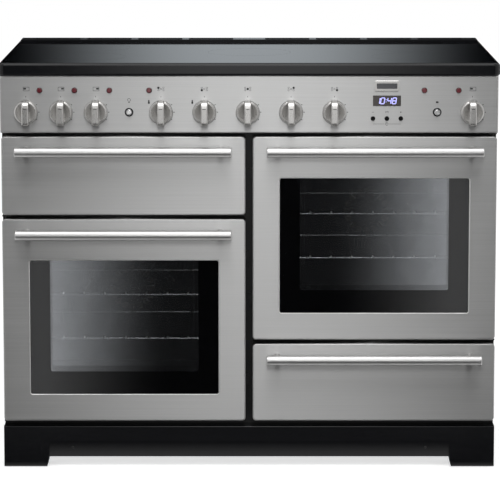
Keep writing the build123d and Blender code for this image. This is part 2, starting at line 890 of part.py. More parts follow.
def front_shell(x, z, height):
    """The folded steel shell of a door or drawer front, open at the back."""
    with BuildPart() as shell:
        with BuildSketch(facing(x, face_y, z)):
            RectangleRounded(door_width, height, corner_radius)
        extrude(amount=-front_depth)
        fillet(shell.faces().sort_by(Axis.Y)[0].edges(), edge_radius)
        with BuildSketch(facing(x, face_y + sheet, z)):
            RectangleRounded(door_width - 2 * sheet, height - 2 * sheet, corner_radius - sheet)
        extrude(amount=sheet - front_depth, mode=Mode.SUBTRACT)
    return shell


def front_backing(x, z, height):
    """The shallow tray that closes the back of a front shell, flush with its edges."""
    margin = sheet + fit_clearance
    inner_margin = margin + sheet
    with BuildPart() as backing:
        with BuildSketch(facing(x, door_back_y, z)):
            RectangleRounded(door_width - 2 * margin, height - 2 * margin, corner_radius - margin)
        extrude(amount=liner_lip)
        with BuildSketch(facing(x, door_back_y - sheet, z)):
            RectangleRounded(
                door_width - 2 * inner_margin,
                height - 2 * inner_margin,
                corner_radius - inner_margin,
            )
        extrude(amount=liner_lip - sheet, mode=Mode.SUBTRACT)
    return backing


def bar_handle(x, top_z):
    """A round bar on two flared posts, below the top edge of its front."""
    z = top_z - handle_drop
    bar_y = face_y - handle_projection + handle_radius
    with BuildPart() as handle:
        rod(handle_radius, (x - handle_length / 2, bar_y, z), (x + handle_length / 2, bar_y, z))
        fillet(handle.edges().filter_by(GeomType.CIRCLE), handle_end_radius)
        for post_x in (x - handle_post_pitch / 2, x + handle_post_pitch / 2):
            rod(handle_post_radius, (post_x, face_y, z), (post_x, bar_y, z))
            with Locations(facing(post_x, face_y, z)):
                Cone(
                    handle_foot_radius,
                    handle_post_radius,
                    handle_foot_length,
                    align=(Align.CENTER, Align.CENTER, Align.MIN),
                )
    return handle


# Oven doors, hung on pivot pins near their outer edges
hinge_y = door_back_y - hinge_setback
boss_reach = hinge_pin_radius + hinge_boss_wall
for name, side, door_z in ovens:
    door_x = side * column_x
    hinge_x = side * (half_width - side_inset - hinge_inset)
    boss_edge_x = side * (half_width - side_inset - sheet - fit_clearance)
    window_z = door_z - door_height / 2 + window_bottom_margin + window_height / 2

    # Outer panel with the window and the two pin holes
    shell = front_shell(door_x, door_z, door_height)
    with BuildPart() as door_panel:
        add(shell.part)
        with BuildSketch(facing(door_x, face_y, window_z)):
            RectangleRounded(window_width, window_height, window_corner)
        extrude(amount=-sheet, mode=Mode.SUBTRACT)
        rod(
            hinge_pin_radius + hinge_hole_gap,
            (hinge_x, hinge_y, door_z - door_height / 2),
            (hinge_x, hinge_y, door_z + door_height / 2),
            mode=Mode.SUBTRACT,
        )
    save(door_panel, f"{name}_door_panel")

    # Window: an outer pane behind the panel and an inner pane on the liner
    with BuildPart() as door_glass:
        with BuildSketch(facing(door_x, face_y + sheet, window_z)):
            RectangleRounded(
                window_width + 2 * pane_lap, window_height + 2 * pane_lap, window_corner
            )
        extrude(amount=-pane_thickness)
        with BuildSketch(facing(door_x, door_back_y - sheet, window_z)):
            RectangleRounded(
                inner_window_width + 2 * pane_lap, inner_window_height + 2 * pane_lap, window_corner
            )
        extrude(amount=pane_thickness)
    save(door_glass, f"{name}_door_glass")

    # Liner that closes the back, with a boss for each pivot pin
    backing = front_backing(door_x, door_z, door_height)
    with BuildPart() as door_liner:
        add(backing.part)
        with BuildSketch(facing(door_x, door_back_y, window_z)):
            RectangleRounded(inner_window_width, inner_window_height, window_corner)
        extrude(amount=sheet, mode=Mode.SUBTRACT)
        for end in (-1, 1):
            edge_z = door_z + end * door_height / 2
            boss_z = edge_z - end * corner_radius
            block(
                sorted((boss_edge_x, hinge_x - side * boss_reach)),
                (hinge_y - boss_reach, door_back_y - sheet),
                sorted((boss_z, boss_z - end * hinge_boss_height)),
            )
            rod(
                hinge_pin_radius + hinge_hole_gap,
                (hinge_x, hinge_y, edge_z),
                (hinge_x, hinge_y, boss_z),
                mode=Mode.SUBTRACT,
            )
            rod(
                hinge_pin_radius + running_clearance,
                (hinge_x, hinge_y, edge_z),
                (hinge_x, hinge_y, edge_z - end * (hinge_pin_depth + end_gap)),
                mode=Mode.SUBTRACT,
            )
    save(door_liner, f"{name}_door_liner")
    save(bar_handle(door_x, door_z + door_height / 2), f"{name}_door_handle")

# Pivot hinges: a plate on the front frame above and below each door, with its pin
with BuildPart() as door_hinges:
    for name, side, door_z in ovens:
        hinge_x = side * (half_width - side_inset - hinge_inset)
        for end in (-1, 1):
            edge_z = door_z + end * door_height / 2
            plate_z = edge_z + end * hinge_clearance
            block(
                (hinge_x - hinge_plate_width / 2, hinge_x + hinge_plate_width / 2),
                (hinge_y - hinge_plate_width / 2, frame_y),
                sorted((plate_z, plate_z + end * hinge_plate)),
            )
            rod(
                hinge_pin_radius,
                (hinge_x, hinge_y, plate_z),
                (hinge_x, hinge_y, edge_z - end * hinge_pin_depth),
            )
save(door_hinges, "door_hinges")

# Catches on the mullion, close beside the free edge of each door
with BuildPart() as door_catches:
    for name, side, door_z in ovens:
        catch_edge_x = side * (column_gap / 2 - catch_clearance)
        for end in (-0.5, 0.5):
            catch_z = door_z + end * catch_spread
            block(
                sorted((catch_edge_x, catch_edge_x - side * catch_width)),
                (frame_y - catch_depth, frame_y),
                (catch_z - catch_height / 2, catch_z + catch_height / 2),
            )
save(door_catches, "door_catches")

# Grill drawer: its front, a carriage on runners, a pan and a trivet
carriage_half = carriage_width / 2
carriage_bottom_z = grill_z - grill_height / 2 + carriage_rise
carriage_top_z = carriage_bottom_z + carriage_height
carriage_back_y = door_back_y + carriage_depth
save(front_shell(-column_x, grill_z, drawer_height), "grill_drawer_front")
save(bar_handle(-column_x, front_top_z), "grill_drawer_handle")

backing = front_backing(-column_x, grill_z, drawer_height)
carriage_span = (-column_x - carriage_half, -column_x + carriage_half)
with BuildPart() as grill_carriage:
    add(backing.part)
    block(carriage_span, (door_back_y, carriage_back_y), (carriage_bottom_z, carriage_top_z))
    block(
        (carriage_span[0] - runner_lip, carriage_span[1] + runner_lip),
        (door_back_y, carriage_back_y),
        (carriage_top_z - runner_sheet, carriage_top_z),
    )
    block(
        (carriage_span[0] + runner_sheet, carriage_span[1] - runner_sheet),
        (door_back_y, carriage_back_y - runner_sheet),
        (carriage_bottom_z + runner_sheet, carriage_top_z),
        mode=Mode.SUBTRACT,
    )
    block(
        (carriage_span[0] + carriage_ledge, carriage_span[1] - carriage_ledge),
        (door_back_y + carriage_ledge, carriage_back_y - carriage_ledge),
        (carriage_bottom_z, carriage_top_z),
        mode=Mode.SUBTRACT,
    )
save(grill_carriage, "grill_carriage")

pan_margin = runner_sheet + pan_clearance
pan_x = (carriage_span[0] + pan_margin, carriage_span[1] - pan_margin)
pan_y = (door_back_y + pan_clearance, carriage_back_y - pan_margin)
pan_bottom_z = carriage_bottom_z + runner_sheet
pan_top_z = pan_bottom_z + pan_height
pan_floor_z = pan_bottom_z + pan_wall
with BuildPart() as grill_pan:
    block(pan_x, pan_y, (pan_bottom_z, pan_top_z))
    block(
        (pan_x[0] + pan_wall, pan_x[1] - pan_wall),
        (pan_y[0] + pan_wall, pan_y[1] - pan_wall),
        (pan_floor_z, pan_top_z),
        mode=Mode.SUBTRACT,
    )
save(grill_pan, "grill_pan")

trivet_x = (pan_x[0] + trivet_inset, pan_x[1] - trivet_inset)
trivet_y = (pan_y[0] + trivet_inset, pan_y[1] - trivet_inset)
trivet_z = pan_floor_z + trivet_leg
trivet_pitch = (trivet_x[1] - trivet_x[0]) / (trivet_wire_count + 1)
with BuildPart() as grill_trivet:
    with BuildLine(Plane.XY.offset(trivet_z)) as trivet_line:
        FilletPolyline(
            (trivet_x[0], trivet_y[0]),
            (trivet_x[1], trivet_y[0]),
            (trivet_x[1], trivet_y[1]),
            (trivet_x[0], trivet_y[1]),
            radius=shelf_corner,
            close=True,
        )
    with BuildSketch(Plane(origin=trivet_line.line @ 0, z_dir=trivet_line.line % 0)):
        Circle(trivet_wire_radius)
    sweep(path=trivet_line.line)
    for index in range(trivet_wire_count):
        x = trivet_x[0] + (index + 1) * trivet_pitch
        z = trivet_z + 2 * shelf_wire_radius - weld_bite
        rod(shelf_wire_radius, (x, trivet_y[0], z), (x, trivet_y[1], z))
    for x in (trivet_x[0] + 2 * shelf_corner, trivet_x[1] - 2 * shelf_corner):
        for y in trivet_y:
            rod(shelf_wire_radius, (x, y, pan_floor_z), (x, y, trivet_z))
save(grill_trivet, "grill_trivet")

# Storage drawer: its front and a tub on runners
tub_bottom_z = storage_z - tub_height / 2
tub_top_z = storage_z + tub_height / 2
tub_back_y = door_back_y + tub_depth
tub_lip_z = tub_top_z - runner_drop
tub_span = (column_x - carriage_half, column_x + carriage_half)
save(front_shell(column_x, storage_z, drawer_height), "storage_drawer_front")
save(bar_handle(column_x, storage_z + drawer_height / 2), "storage_drawer_handle")

backing = front_backing(column_x, storage_z, drawer_height)
with BuildPart() as storage_drawer_tub:
    add(backing.part)
    block(tub_span, (door_back_y, tub_back_y), (tub_bottom_z, tub_top_z))
    block(
        (tub_span[0] - runner_lip, tub_span[1] + runner_lip),
        (door_back_y, tub_back_y),
        (tub_lip_z - runner_sheet, tub_lip_z),
    )
    block(
        (tub_span[0] + tub_wall, tub_span[1] - tub_wall),
        (door_back_y, tub_back_y - tub_wall),
        (tub_bottom_z + tub_wall, tub_top_z),
        mode=Mode.SUBTRACT,
    )
save(storage_drawer_tub, "storage_drawer_tub")


def runner_rail(drawer_x, wall, lip_top_z, back, foot):
    """A channel that holds one runner lip from below and above, in the part that is being made."""
    lip_bottom_z = lip_top_z - runner_sheet
    channel = (lip_bottom_z - slide_clearance - rail_sheet, lip_top_z + slide_clearance + rail_sheet)
    web_x = drawer_x + wall * (cavity_width / 2 - rail_sheet)
    outer_x = drawer_x + wall * cavity_width / 2
    inner_x = drawer_x + wall * (carriage_half + rail_clearance)
    length = (frame_back_y, back)
    block(sorted((inner_x, outer_x)), length, channel)
    block(
        sorted((inner_x, web_x)),
        length,
        (channel[0] + rail_sheet, channel[1] - rail_sheet),
        mode=Mode.SUBTRACT,
    )
    if foot:
        block(
            sorted((outer_x, outer_x + wall * rail_foot)),
            (frame_back_y, frame_back_y + rail_sheet),
            channel,
        )


# Drawer rails: a pair on the grill liner's walls, a pair between front frame and rear cover
with BuildPart() as drawer_rails:
    for wall in (-1, 1):
        runner_rail(-column_x, wall, carriage_top_z, cavity_back_y, foot=False)
        runner_rail(column_x, wall, tub_lip_z, cover_inner_y, foot=True)
save(drawer_rails, "drawer_rails")

# Mains terminal box on the rear cover, with a round cable inlet
terminal_z = base_z + terminal_rise
terminal_back_y = cover_y + terminal_depth
with BuildPart() as terminal_box:
    block(
        (terminal_x - terminal_width / 2, terminal_x + terminal_width / 2),
        (cover_y, terminal_back_y),
        (terminal_z - terminal_height / 2, terminal_z + terminal_height / 2),
    )
    block(
        (terminal_x - terminal_width / 2 + terminal_wall, terminal_x + terminal_width / 2 - terminal_wall),
        (cover_y, terminal_back_y - terminal_wall),
        (terminal_z - terminal_height / 2 + terminal_wall, terminal_z + terminal_height / 2 - terminal_wall),
        mode=Mode.SUBTRACT,
    )
    for radius, mode in ((inlet_radius + inlet_wall, Mode.ADD), (inlet_radius, Mode.SUBTRACT)):
        rod(
            radius,
            (terminal_x, terminal_back_y, terminal_z),
            (terminal_x, terminal_back_y - inlet_length, terminal_z),
            mode=mode,
        )
save(terminal_box, "terminal_box")
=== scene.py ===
# %% [markdown]
# # A range cooker in brushed steel and black glass
# The construction comes packed from CAD: every shell, door, knob and shelf already has its size and
# place. This lesson dresses it. It sets up a small photo studio, gives each surface its finish, and adds
# the thin trim that is too fine for the solids: window edging, wire tips, printed marks, clock digits
# and screws.

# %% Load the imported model
import math

import bmesh
import bpy
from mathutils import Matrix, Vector


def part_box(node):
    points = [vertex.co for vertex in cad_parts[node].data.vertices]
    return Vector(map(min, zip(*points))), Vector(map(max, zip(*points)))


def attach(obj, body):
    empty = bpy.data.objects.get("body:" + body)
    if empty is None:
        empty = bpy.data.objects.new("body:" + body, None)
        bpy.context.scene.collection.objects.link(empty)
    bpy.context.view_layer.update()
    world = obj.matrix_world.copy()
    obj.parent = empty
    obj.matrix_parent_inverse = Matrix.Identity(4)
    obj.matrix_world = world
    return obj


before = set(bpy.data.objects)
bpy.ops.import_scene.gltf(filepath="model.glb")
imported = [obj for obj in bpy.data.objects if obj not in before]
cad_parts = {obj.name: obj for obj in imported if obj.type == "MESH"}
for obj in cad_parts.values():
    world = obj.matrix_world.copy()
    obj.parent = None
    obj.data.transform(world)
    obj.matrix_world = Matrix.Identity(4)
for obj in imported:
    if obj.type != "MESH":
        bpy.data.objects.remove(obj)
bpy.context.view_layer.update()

MM = 0.001

# %% [markdown]
# ## Camera
# The cooker is seen square from the front and from a little above the hob, with a long lens. A lens
# with a large shift would keep the uprights parallel, but it would push the cooker out of every other
# view. A small shift with a slight downward tilt keeps both, so the place and tilt were chosen to line
# up the fronts.

# %% Camera
IMAGE_PIXELS = 500
SENSOR_MM = 36.0
FOCAL_PIXELS = 2896.9
CAMERA_PLACE = (0.002, -6.594, 1.483)
CAMERA_TILT = math.radians(7.938)
CAMERA_SHIFT = -0.1

lens = bpy.data.cameras.new("front_camera")
lens.sensor_width = SENSOR_MM
lens.lens = FOCAL_PIXELS * SENSOR_MM / IMAGE_PIXELS
lens.shift_y = CAMERA_SHIFT
camera = bpy.data.objects.new("front_camera", lens)
camera.location = CAMERA_PLACE
camera.rotation_euler = (math.pi / 2 - CAMERA_TILT, 0, 0)
bpy.context.collection.objects.link(camera)
bpy.context.scene.camera = camera
bpy.context.scene.view_settings.view_transform = "Standard"
print("lens", round(lens.lens, 1), "mm")

# %% [markdown]
# ## Studio
# Steel and glass have almost no colour of their own: they show the room. The room here is white, with a
# pale floor. More lamp light could make it white, but that would burn out the cooker as well. So the world
# asks the light path what kind of ray has come: camera, mirror and glass rays see plain white, and all
# other rays see the lower level that lights the cooker. The floor glows for the camera in the same way, so
# it looks nearly white and still keeps the shadow.

# %% Helpers for node materials
def socket(shader, name):
    """The input of a shader by its name."""
    return shader.inputs[name]


def plain_material(name):
    """A new node material with its principled shader."""
    made = bpy.data.materials.new(name)
    made.use_nodes = True
    return made, made.node_tree, made.node_tree.nodes["Principled BSDF"]


def new_node(tree, kind, **settings):
    """A new node with its settings."""
    node = tree.nodes.new(kind)
    for key, value in settings.items():
        setattr(node, key, value)
    return node


def joined(tree, operation, first, second, clamp=False):
    """The output of a math node that joins two outputs of other nodes."""
    node = new_node(tree, "ShaderNodeMath", operation=operation, use_clamp=clamp)
    tree.links.new(first, node.inputs[0])
    tree.links.new(second, node.inputs[1])
    return node.outputs[0]


def background_rays(tree):
    """One for rays that should see the white background: camera, mirror and glass rays."""
    path = new_node(tree, "ShaderNodeLightPath").outputs
    seen = joined(tree, "ADD", path["Is Camera Ray"], path["Is Glossy Ray"], clamp=True)
    return joined(tree, "ADD", seen, path["Is Transmission Ray"], clamp=True)


print("helpers ready")

# %% White world
ROOM_LIGHT = 0.62
ROOM_WHITE = 1.0

world = bpy.data.worlds.new("white_room")
world.use_nodes = True
bpy.context.scene.world = world
tree = world.node_tree
background = tree.nodes["Background"]
background.inputs["Color"].default_value = (1, 1, 1, 1)
level = new_node(tree, "ShaderNodeMapRange")
level.inputs["To Min"].default_value = ROOM_LIGHT
level.inputs["To Max"].default_value = ROOM_WHITE
tree.links.new(background_rays(tree), level.inputs["Value"])
tree.links.new(level.outputs["Result"], background.inputs["Strength"])
print("world", world.name)

# %% Pale floor
FLOOR_HALF = 9.0
FLOOR_GLOW = 0.55
FLOOR_COLOUR = (0.86, 0.86, 0.86, 1)


def sheet_object(name, corners):
    """A flat four-cornered mesh object."""
    mesh = bpy.data.meshes.new(name)
    mesh.from_pydata(corners, [], [(0, 1, 2, 3)])
    made = bpy.data.objects.new(name, mesh)
    bpy.context.collection.objects.link(made)
    return made


def level_corners(x_span, y_span, z):
    """The corners of a level sheet."""
    (left, right), (near, far) = x_span, y_span
    return [(left, near, z), (right, near, z), (right, far, z), (left, far, z)]


floor_span = (-FLOOR_HALF, FLOOR_HALF)
floor = sheet_object("floor", level_corners(floor_span, floor_span, 0))
floor_finish, tree, shader = plain_material("pale_floor")
socket(shader, "Base Color").default_value = FLOOR_COLOUR
socket(shader, "Roughness").default_value = 0.9
socket(shader, "Specular IOR Level").default_value = 0.0
socket(shader, "Emission Color").default_value = (1, 1, 1, 1)
glow = new_node(tree, "ShaderNodeMath", operation="MULTIPLY")
glow.inputs[1].default_value = FLOOR_GLOW
tree.links.new(background_rays(tree), glow.inputs[0])
tree.links.new(glow.outputs[0], socket(shader, "Emission Strength"))
floor.data.materials.append(floor_finish)
floor.visible_glossy = False
floor.visible_transmission = False
print("floor", FLOOR_HALF * 2, "m square")

# %% [markdown]
# ### Cards
# A photographer shapes what steel mirrors with cards that stand outside the picture. These are sheets that
# shine by themselves and that only mirror and glass rays can see. The tall card in front is bright in its
# middle and falls off to its sides, which gives the fronts their darker outer edges. The low card does the
# opposite and draws the grey shine in the windows. A third one under it is nearly dark in the middle. Far
# out all three are bright, so that the steel also shines when it is seen from the side. A card behind the
# hob lays a soft light on its glass, and a narrow strip on the floor lights the slope of the plinth.

# %% A card with a graded brightness
def smooth_range(tree, value, span, levels):
    """The output of a node that runs smoothly between two levels over a span of its input."""
    node = new_node(tree, "ShaderNodeMapRange", interpolation_type="SMOOTHERSTEP")
    for label, number in zip(("From Min", "From Max", "To Min", "To Max"), (*span, *levels)):
        node.inputs[label].default_value = number
    tree.links.new(value, node.inputs["Value"])
    return node.outputs["Result"]


def distance_along(tree, axis, middle):
    """The distance from a middle along one of the object's own axes."""
    place = new_node(tree, "ShaderNodeTexCoord")
    split = new_node(tree, "ShaderNodeSeparateXYZ")
    shift = new_node(tree, "ShaderNodeMath", operation="SUBTRACT")
    shift.inputs[1].default_value = middle
    size = new_node(tree, "ShaderNodeMath", operation="ABSOLUTE")
    tree.links.new(place.outputs["Object"], split.inputs[0])
    tree.links.new(split.outputs[axis], shift.inputs[0])
    tree.links.new(shift.outputs[0], size.inputs[0])
    return size.outputs[0]


def graded_card(name, corners, span, levels, tint=(1, 1, 1), middle=0.0, axis="X", fade=None, far=None):
    """A card that runs between two levels from its middle out, and may fade or rise further on."""
    finish = bpy.data.materials.new(name)
    finish.use_nodes = True
    tree = finish.node_tree
    tree.nodes.clear()
    away = distance_along(tree, axis, middle)
    strength = smooth_range(tree, away, span, levels)
    if fade:
        fade_span, fade_level = fade
        dimmed = smooth_range(tree, away, fade_span, (1, fade_level))
        strength = joined(tree, "MULTIPLY", strength, dimmed)
    if far:
        far_span, far_level = far
        risen = smooth_range(tree, away, far_span, (0, far_level))
        strength = joined(tree, "MAXIMUM", strength, risen)
    shine = new_node(tree, "ShaderNodeEmission")
    shine.inputs["Color"].default_value = (*tint, 1)
    end = new_node(tree, "ShaderNodeOutputMaterial")
    tree.links.new(strength, shine.inputs["Strength"])
    tree.links.new(shine.outputs[0], end.inputs["Surface"])
    card = sheet_object(name, corners)
    card.data.materials.append(finish)
    card.visible_camera = False
    card.visible_diffuse = False
    card.visible_shadow = False


print("card recipe ready")

# %% The cards
CARD_HALF = 7.0
FRONT_CARD_Y = -3.2
REAR_CARD_Y = 3.4
LOW_CARD_SPAN = (-0.5, 0.33)
FAR_LIGHT = ((1.35, 2.2), 0.66)
COOL_WHITE = (0.88, 0.95, 1.0)


def upright_corners(y, z_span):
    """The corners of a card that stands across the room."""
    low, high = z_span
    return [(-CARD_HALF, y, low), (CARD_HALF, y, low), (CARD_HALF, y, high), (-CARD_HALF, y, high)]


floor_corners = upright_corners(FRONT_CARD_Y, (-8.0, LOW_CARD_SPAN[0]))
graded_card("front_floor_card", floor_corners, (0.1, 0.9), (0.10, 0.0), far=FAR_LIGHT)
low_corners = upright_corners(FRONT_CARD_Y, LOW_CARD_SPAN)
low_fade = ((0.62, 0.85), 0.2)
graded_card("front_low_card", low_corners, (0.23, 1.0), (0.008, 1.0), fade=low_fade, far=FAR_LIGHT)
high_corners = upright_corners(FRONT_CARD_Y, (LOW_CARD_SPAN[1], 14.0))
graded_card("front_high_card", high_corners, (0.1, 0.83), (1.62, 0.0), middle=0.05, far=FAR_LIGHT)
rear_corners = upright_corners(REAR_CARD_Y, (-1.0, 4.0))
graded_card("rear_card", rear_corners, (0.0, 0.90), (0.52, 0.0), tint=COOL_WHITE)
strip_corners = level_corners((-1.0, 1.0), (-0.34, -0.255), 0.002)
graded_card("floor_strip", strip_corners, (0.0, 0.06), (0.75, 0.0), middle=-0.265, axis="Y")
print("cards at", FRONT_CARD_Y, "and", REAR_CARD_Y)

# %% [markdown]
# ### Lamps
# Two large area lamps are enough for the rest. The one overhead is wide, so that the handles get a broad
# soft highlight. The other stands in front, higher than the camera, and opens up the shadows under them.

# %% Lamps
def soft_lamp(name, place, aim, size, power):
    """A rectangular area lamp turned towards a point."""
    data = bpy.data.lights.new(name, "AREA")
    data.shape = "RECTANGLE"
    data.size, data.size_y = size
    data.energy = power
    lamp = bpy.data.objects.new(name, data)
    lamp.location = place
    lamp.rotation_euler = (Vector(aim) - Vector(place)).to_track_quat("-Z", "Y").to_euler()
    bpy.context.collection.objects.link(lamp)


soft_lamp("overhead_lamp", place=(0, -1.6, 3.3), aim=(0, -0.1, 0.7), size=(2.4, 1.8), power=37)
soft_lamp("front_lamp", place=(0, -5.0, 2.6), aim=(0, 0, 0.5), size=(1.2, 1.2), power=25)
print("lamps set")

# %% [markdown]
# ## Finishes
# Every finish starts from the same recipe: a base colour and a roughness that a fine noise varies a
# little, and a slight bump where the real surface has a texture. The noise is laid out in the object's
# own metres, so its scale is the real one: long thin streaks for brushing, specks for enamel, pits for
# powder coat. A value that is the same all over goes straight onto the shader.

# %% One recipe for all finishes
NOISE_DETAIL = 3.0
NOISE_SPAN = (0.3, 0.7)
SHADER_SOCKETS = {
    "metallic": "Metallic",
    "specular": "Specular IOR Level",
    "coat": "Coat Weight",
    "alpha": "Alpha",
    "transmission": "Transmission Weight",
    "ior": "IOR",
    "anisotropy": "Anisotropic",
    "grain_turn": "Anisotropic Rotation",
    "glow": "Emission Strength",
    "glow_colour": "Emission Color",
}


def grain_noise(tree, grain):
    """The output of a noise, stretched by a grain in waves per metre: one number, or one for each axis."""
    place = new_node(tree, "ShaderNodeTexCoord")
    stretch = new_node(tree, "ShaderNodeMapping")
    stretch.inputs["Scale"].default_value = grain if isinstance(grain, tuple) else (grain, grain, grain)
    noise = new_node(tree, "ShaderNodeTexNoise")
    noise.inputs["Scale"].default_value = 1.0
    noise.inputs["Detail"].default_value = NOISE_DETAIL
    tree.links.new(place.outputs["Object"], stretch.inputs["Vector"])
    tree.links.new(stretch.outputs["Vector"], noise.inputs["Vector"])
    return noise.outputs["Fac"]


def finish_recipe(name, colour, roughness, grain, vary, bump=0.0, **values):
    """A principled finish whose colour, roughness and bump follow one stretched noise."""
    made, tree, shader = plain_material(name)
    noise = grain_noise(tree, grain)
    tone = new_node(tree, "ShaderNodeValToRGB")
    for stop, place, share in zip(tone.color_ramp.elements, NOISE_SPAN, (1 - vary, 1 + vary)):
        stop.position = place
        stop.color = [*(min(1, part * share) for part in colour), 1]
    tree.links.new(noise, tone.inputs["Fac"])
    tree.links.new(tone.outputs["Color"], socket(shader, "Base Color"))
    rough = new_node(tree, "ShaderNodeMapRange")
    limits = (*NOISE_SPAN, roughness * (1 - 2 * vary), roughness * (1 + 2 * vary))
    for label, number in zip(("From Min", "From Max", "To Min", "To Max"), limits):
        rough.inputs[label].default_value = number
    tree.links.new(noise, rough.inputs["Value"])
    tree.links.new(rough.outputs["Result"], socket(shader, "Roughness"))
    if bump:
        relief = new_node(tree, "ShaderNodeBump")
        relief.inputs["Distance"].default_value = bump
        tree.links.new(noise, relief.inputs["Height"])
        tree.links.new(relief.outputs["Normal"], socket(shader, "Normal"))
    for label, value in values.items():
        socket(shader, SHADER_SOCKETS[label]).default_value = value
    return made


def dress(finish, *names):
    """Gives a finish to the CAD nodes with these names."""
    for name in names:
        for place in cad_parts[name].material_slots:
            place.material = finish


def grey(tone):
    """A neutral colour."""
    return (tone, tone, tone)


print("recipe ready")

# %% [markdown]
# ### Brushed steel
# The fronts are ferritic sheet, brushed along its length, so the grain runs from side to side. Brushing
# spreads a reflection across the grain: the steel blurs the room up and down, but keeps a clear change of
# tone from side to side. An anisotropic shader with its tangent round the upright axis does the same.

# %% Brushed steel for the fronts and the panel
doors = ["left_door", "right_door"]
drawers = ["grill_drawer", "storage_drawer"]

front_steel = finish_recipe(
    "brushed_steel",
    (0.47, 0.47, 0.467),
    roughness=0.42,
    grain=(3, 3, 900),
    vary=0.05,
    bump=0.02 * MM,
    metallic=1.0,
    anisotropy=0.92,
    grain_turn=0.25,
)
tree = front_steel.node_tree
around = new_node(tree, "ShaderNodeTangent", direction_type="RADIAL", axis="Z")
tree.links.new(around.outputs["Tangent"], socket(tree.nodes["Principled BSDF"], "Tangent"))
dress(front_steel, "control_panel", *(f"{drawer}_front" for drawer in drawers))
dress(front_steel, *(f"{door}_panel" for door in doors))
print(front_steel.name)

# %% [markdown]
# ### Handles, knobs and buttons
# The handles are ground tube, so they are a little blunter than chrome and show a broad highlight. The
# knobs are cast and plated in satin silver with a warm tint. The two push buttons are bright chrome. The
# three differ in tone, roughness and grain only, so the same recipe serves them all.

# %% Handles, knobs and buttons
handle_steel = finish_recipe(
    "handle_steel", (0.66, 0.655, 0.65), roughness=0.36, grain=(900, 40, 40), vary=0.03, metallic=1.0
)
dress(handle_steel, *(f"{front}_handle" for front in drawers + doors))

knob_names = [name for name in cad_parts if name.endswith("_knob")]
knob_silver = finish_recipe(
    "satin_silver", (0.58, 0.57, 0.555), roughness=0.28, grain=(700, 700, 60), vary=0.02, metallic=1.0
)
dress(knob_silver, *knob_names)

push_names = ["oven_light_button", "timer_button"]
clock_names = ["clock_left_button", "clock_middle_button", "clock_right_button"]
button_chrome = finish_recipe(
    "button_chrome", grey(0.72), roughness=0.14, grain=150, vary=0.04, metallic=1.0
)
dress(button_chrome, *push_names)
print("knobs", len(knob_names), "buttons", len(push_names + clock_names))

# %% [markdown]
# ### Black pieces
# The hob trim, the vent strip and the plinth are enamel on steel, with a faint orange peel. They share
# one colour, but each has its own gloss: the plinth and the trim shine, and the vent strip is duller. The
# plate behind the doors is satin enamel. The side panels are powder coated, which feels like fine leather.

# %% Black enamel and powder coat
ENAMEL_BLACK = (0.005, 0.0052, 0.0062)
enamel_gloss = {
    "hob_trim": ("gloss_black", 0.12, 0.3),
    "rear_vent_trim": ("vent_black", 0.16, 0.12),
    "plinth": ("plinth_black", 0.14, 0.4),
}
for node, (name, roughness, specular) in enamel_gloss.items():
    enamel_black = finish_recipe(
        name, ENAMEL_BLACK, roughness, grain=120, vary=0.10, bump=0.03 * MM, specular=specular
    )
    dress(enamel_black, node)

frame_black = finish_recipe(
    "frame_black",
    (0.022, 0.022, 0.0225),
    roughness=0.34,
    grain=300,
    vary=0.12,
    bump=0.03 * MM,
    specular=0.25,
)
dress(frame_black, "front_frame", "door_catches", "door_hinges")

side_black = finish_recipe(
    "powder_coat", (0.016, 0.016, 0.017), roughness=0.48, grain=900, vary=0.14, bump=0.12 * MM
)
dress(side_black, "left_side_panel", "right_side_panel")
print("black sheet dressed")

# %% [markdown]
# ### Plastics
# The terminal box, the clock's buttons and the switch bodies are moulded, and a mould leaves a fine even
# texture. It is far too fine to model, so a small bump stands for it. The clock's buttons are nearly
# without shine, which keeps them a deep black in the bright panel.

# %% Plastics
black_plastic = finish_recipe(
    "black_plastic", (0.02, 0.02, 0.021), roughness=0.42, grain=1400, vary=0.10, bump=0.04 * MM
)
dress(black_plastic, "terminal_box")

clock_black = finish_recipe(
    "clock_black", grey(0.005), roughness=0.3, grain=900, vary=0.10, bump=0.03 * MM, specular=0.1
)
dress(clock_black, *clock_names)

switch_plastic = finish_recipe(
    "switch_plastic", (0.16, 0.16, 0.155), roughness=0.45, grain=500, vary=0.06, bump=0.03 * MM
)
dress(switch_plastic, "control_switches")
print("plastics dressed")

# %% [markdown]
# ### Hidden metalwork
# Galvanised sheet shows a spangle of zinc crystals, and each has its own gloss, so a cell texture sets the
# roughness. The ovens are lined with dark enamel that has a thin clear coat. Shelves are chromed wire, and
# the elements are dull oxidised sheath.

# %% Galvanised sheet
CRYSTALS_PER_METRE = 140.0
CRYSTAL_ROUGHNESS = (0.32, 0.46)

galvanised = finish_recipe(
    "galvanised", (0.48, 0.49, 0.50), roughness=0.36, grain=60, vary=0.10, metallic=1.0
)
tree = galvanised.node_tree
coordinates = new_node(tree, "ShaderNodeTexCoord")
crystals = new_node(tree, "ShaderNodeTexVoronoi", feature="F1")
crystals.inputs["Scale"].default_value = CRYSTALS_PER_METRE
spread = new_node(tree, "ShaderNodeMapRange")
spread.inputs["To Min"].default_value, spread.inputs["To Max"].default_value = CRYSTAL_ROUGHNESS
tree.links.new(coordinates.outputs["Object"], crystals.inputs["Vector"])
tree.links.new(crystals.outputs["Color"], spread.inputs["Value"])
tree.links.new(spread.outputs["Result"], socket(tree.nodes["Principled BSDF"], "Roughness"))
dress(galvanised, "rear_cover", "base_tray", "drawer_rails", "fan_motors")
dress(galvanised, "storage_drawer_tub", "grill_carriage")
print("sheet dressed")

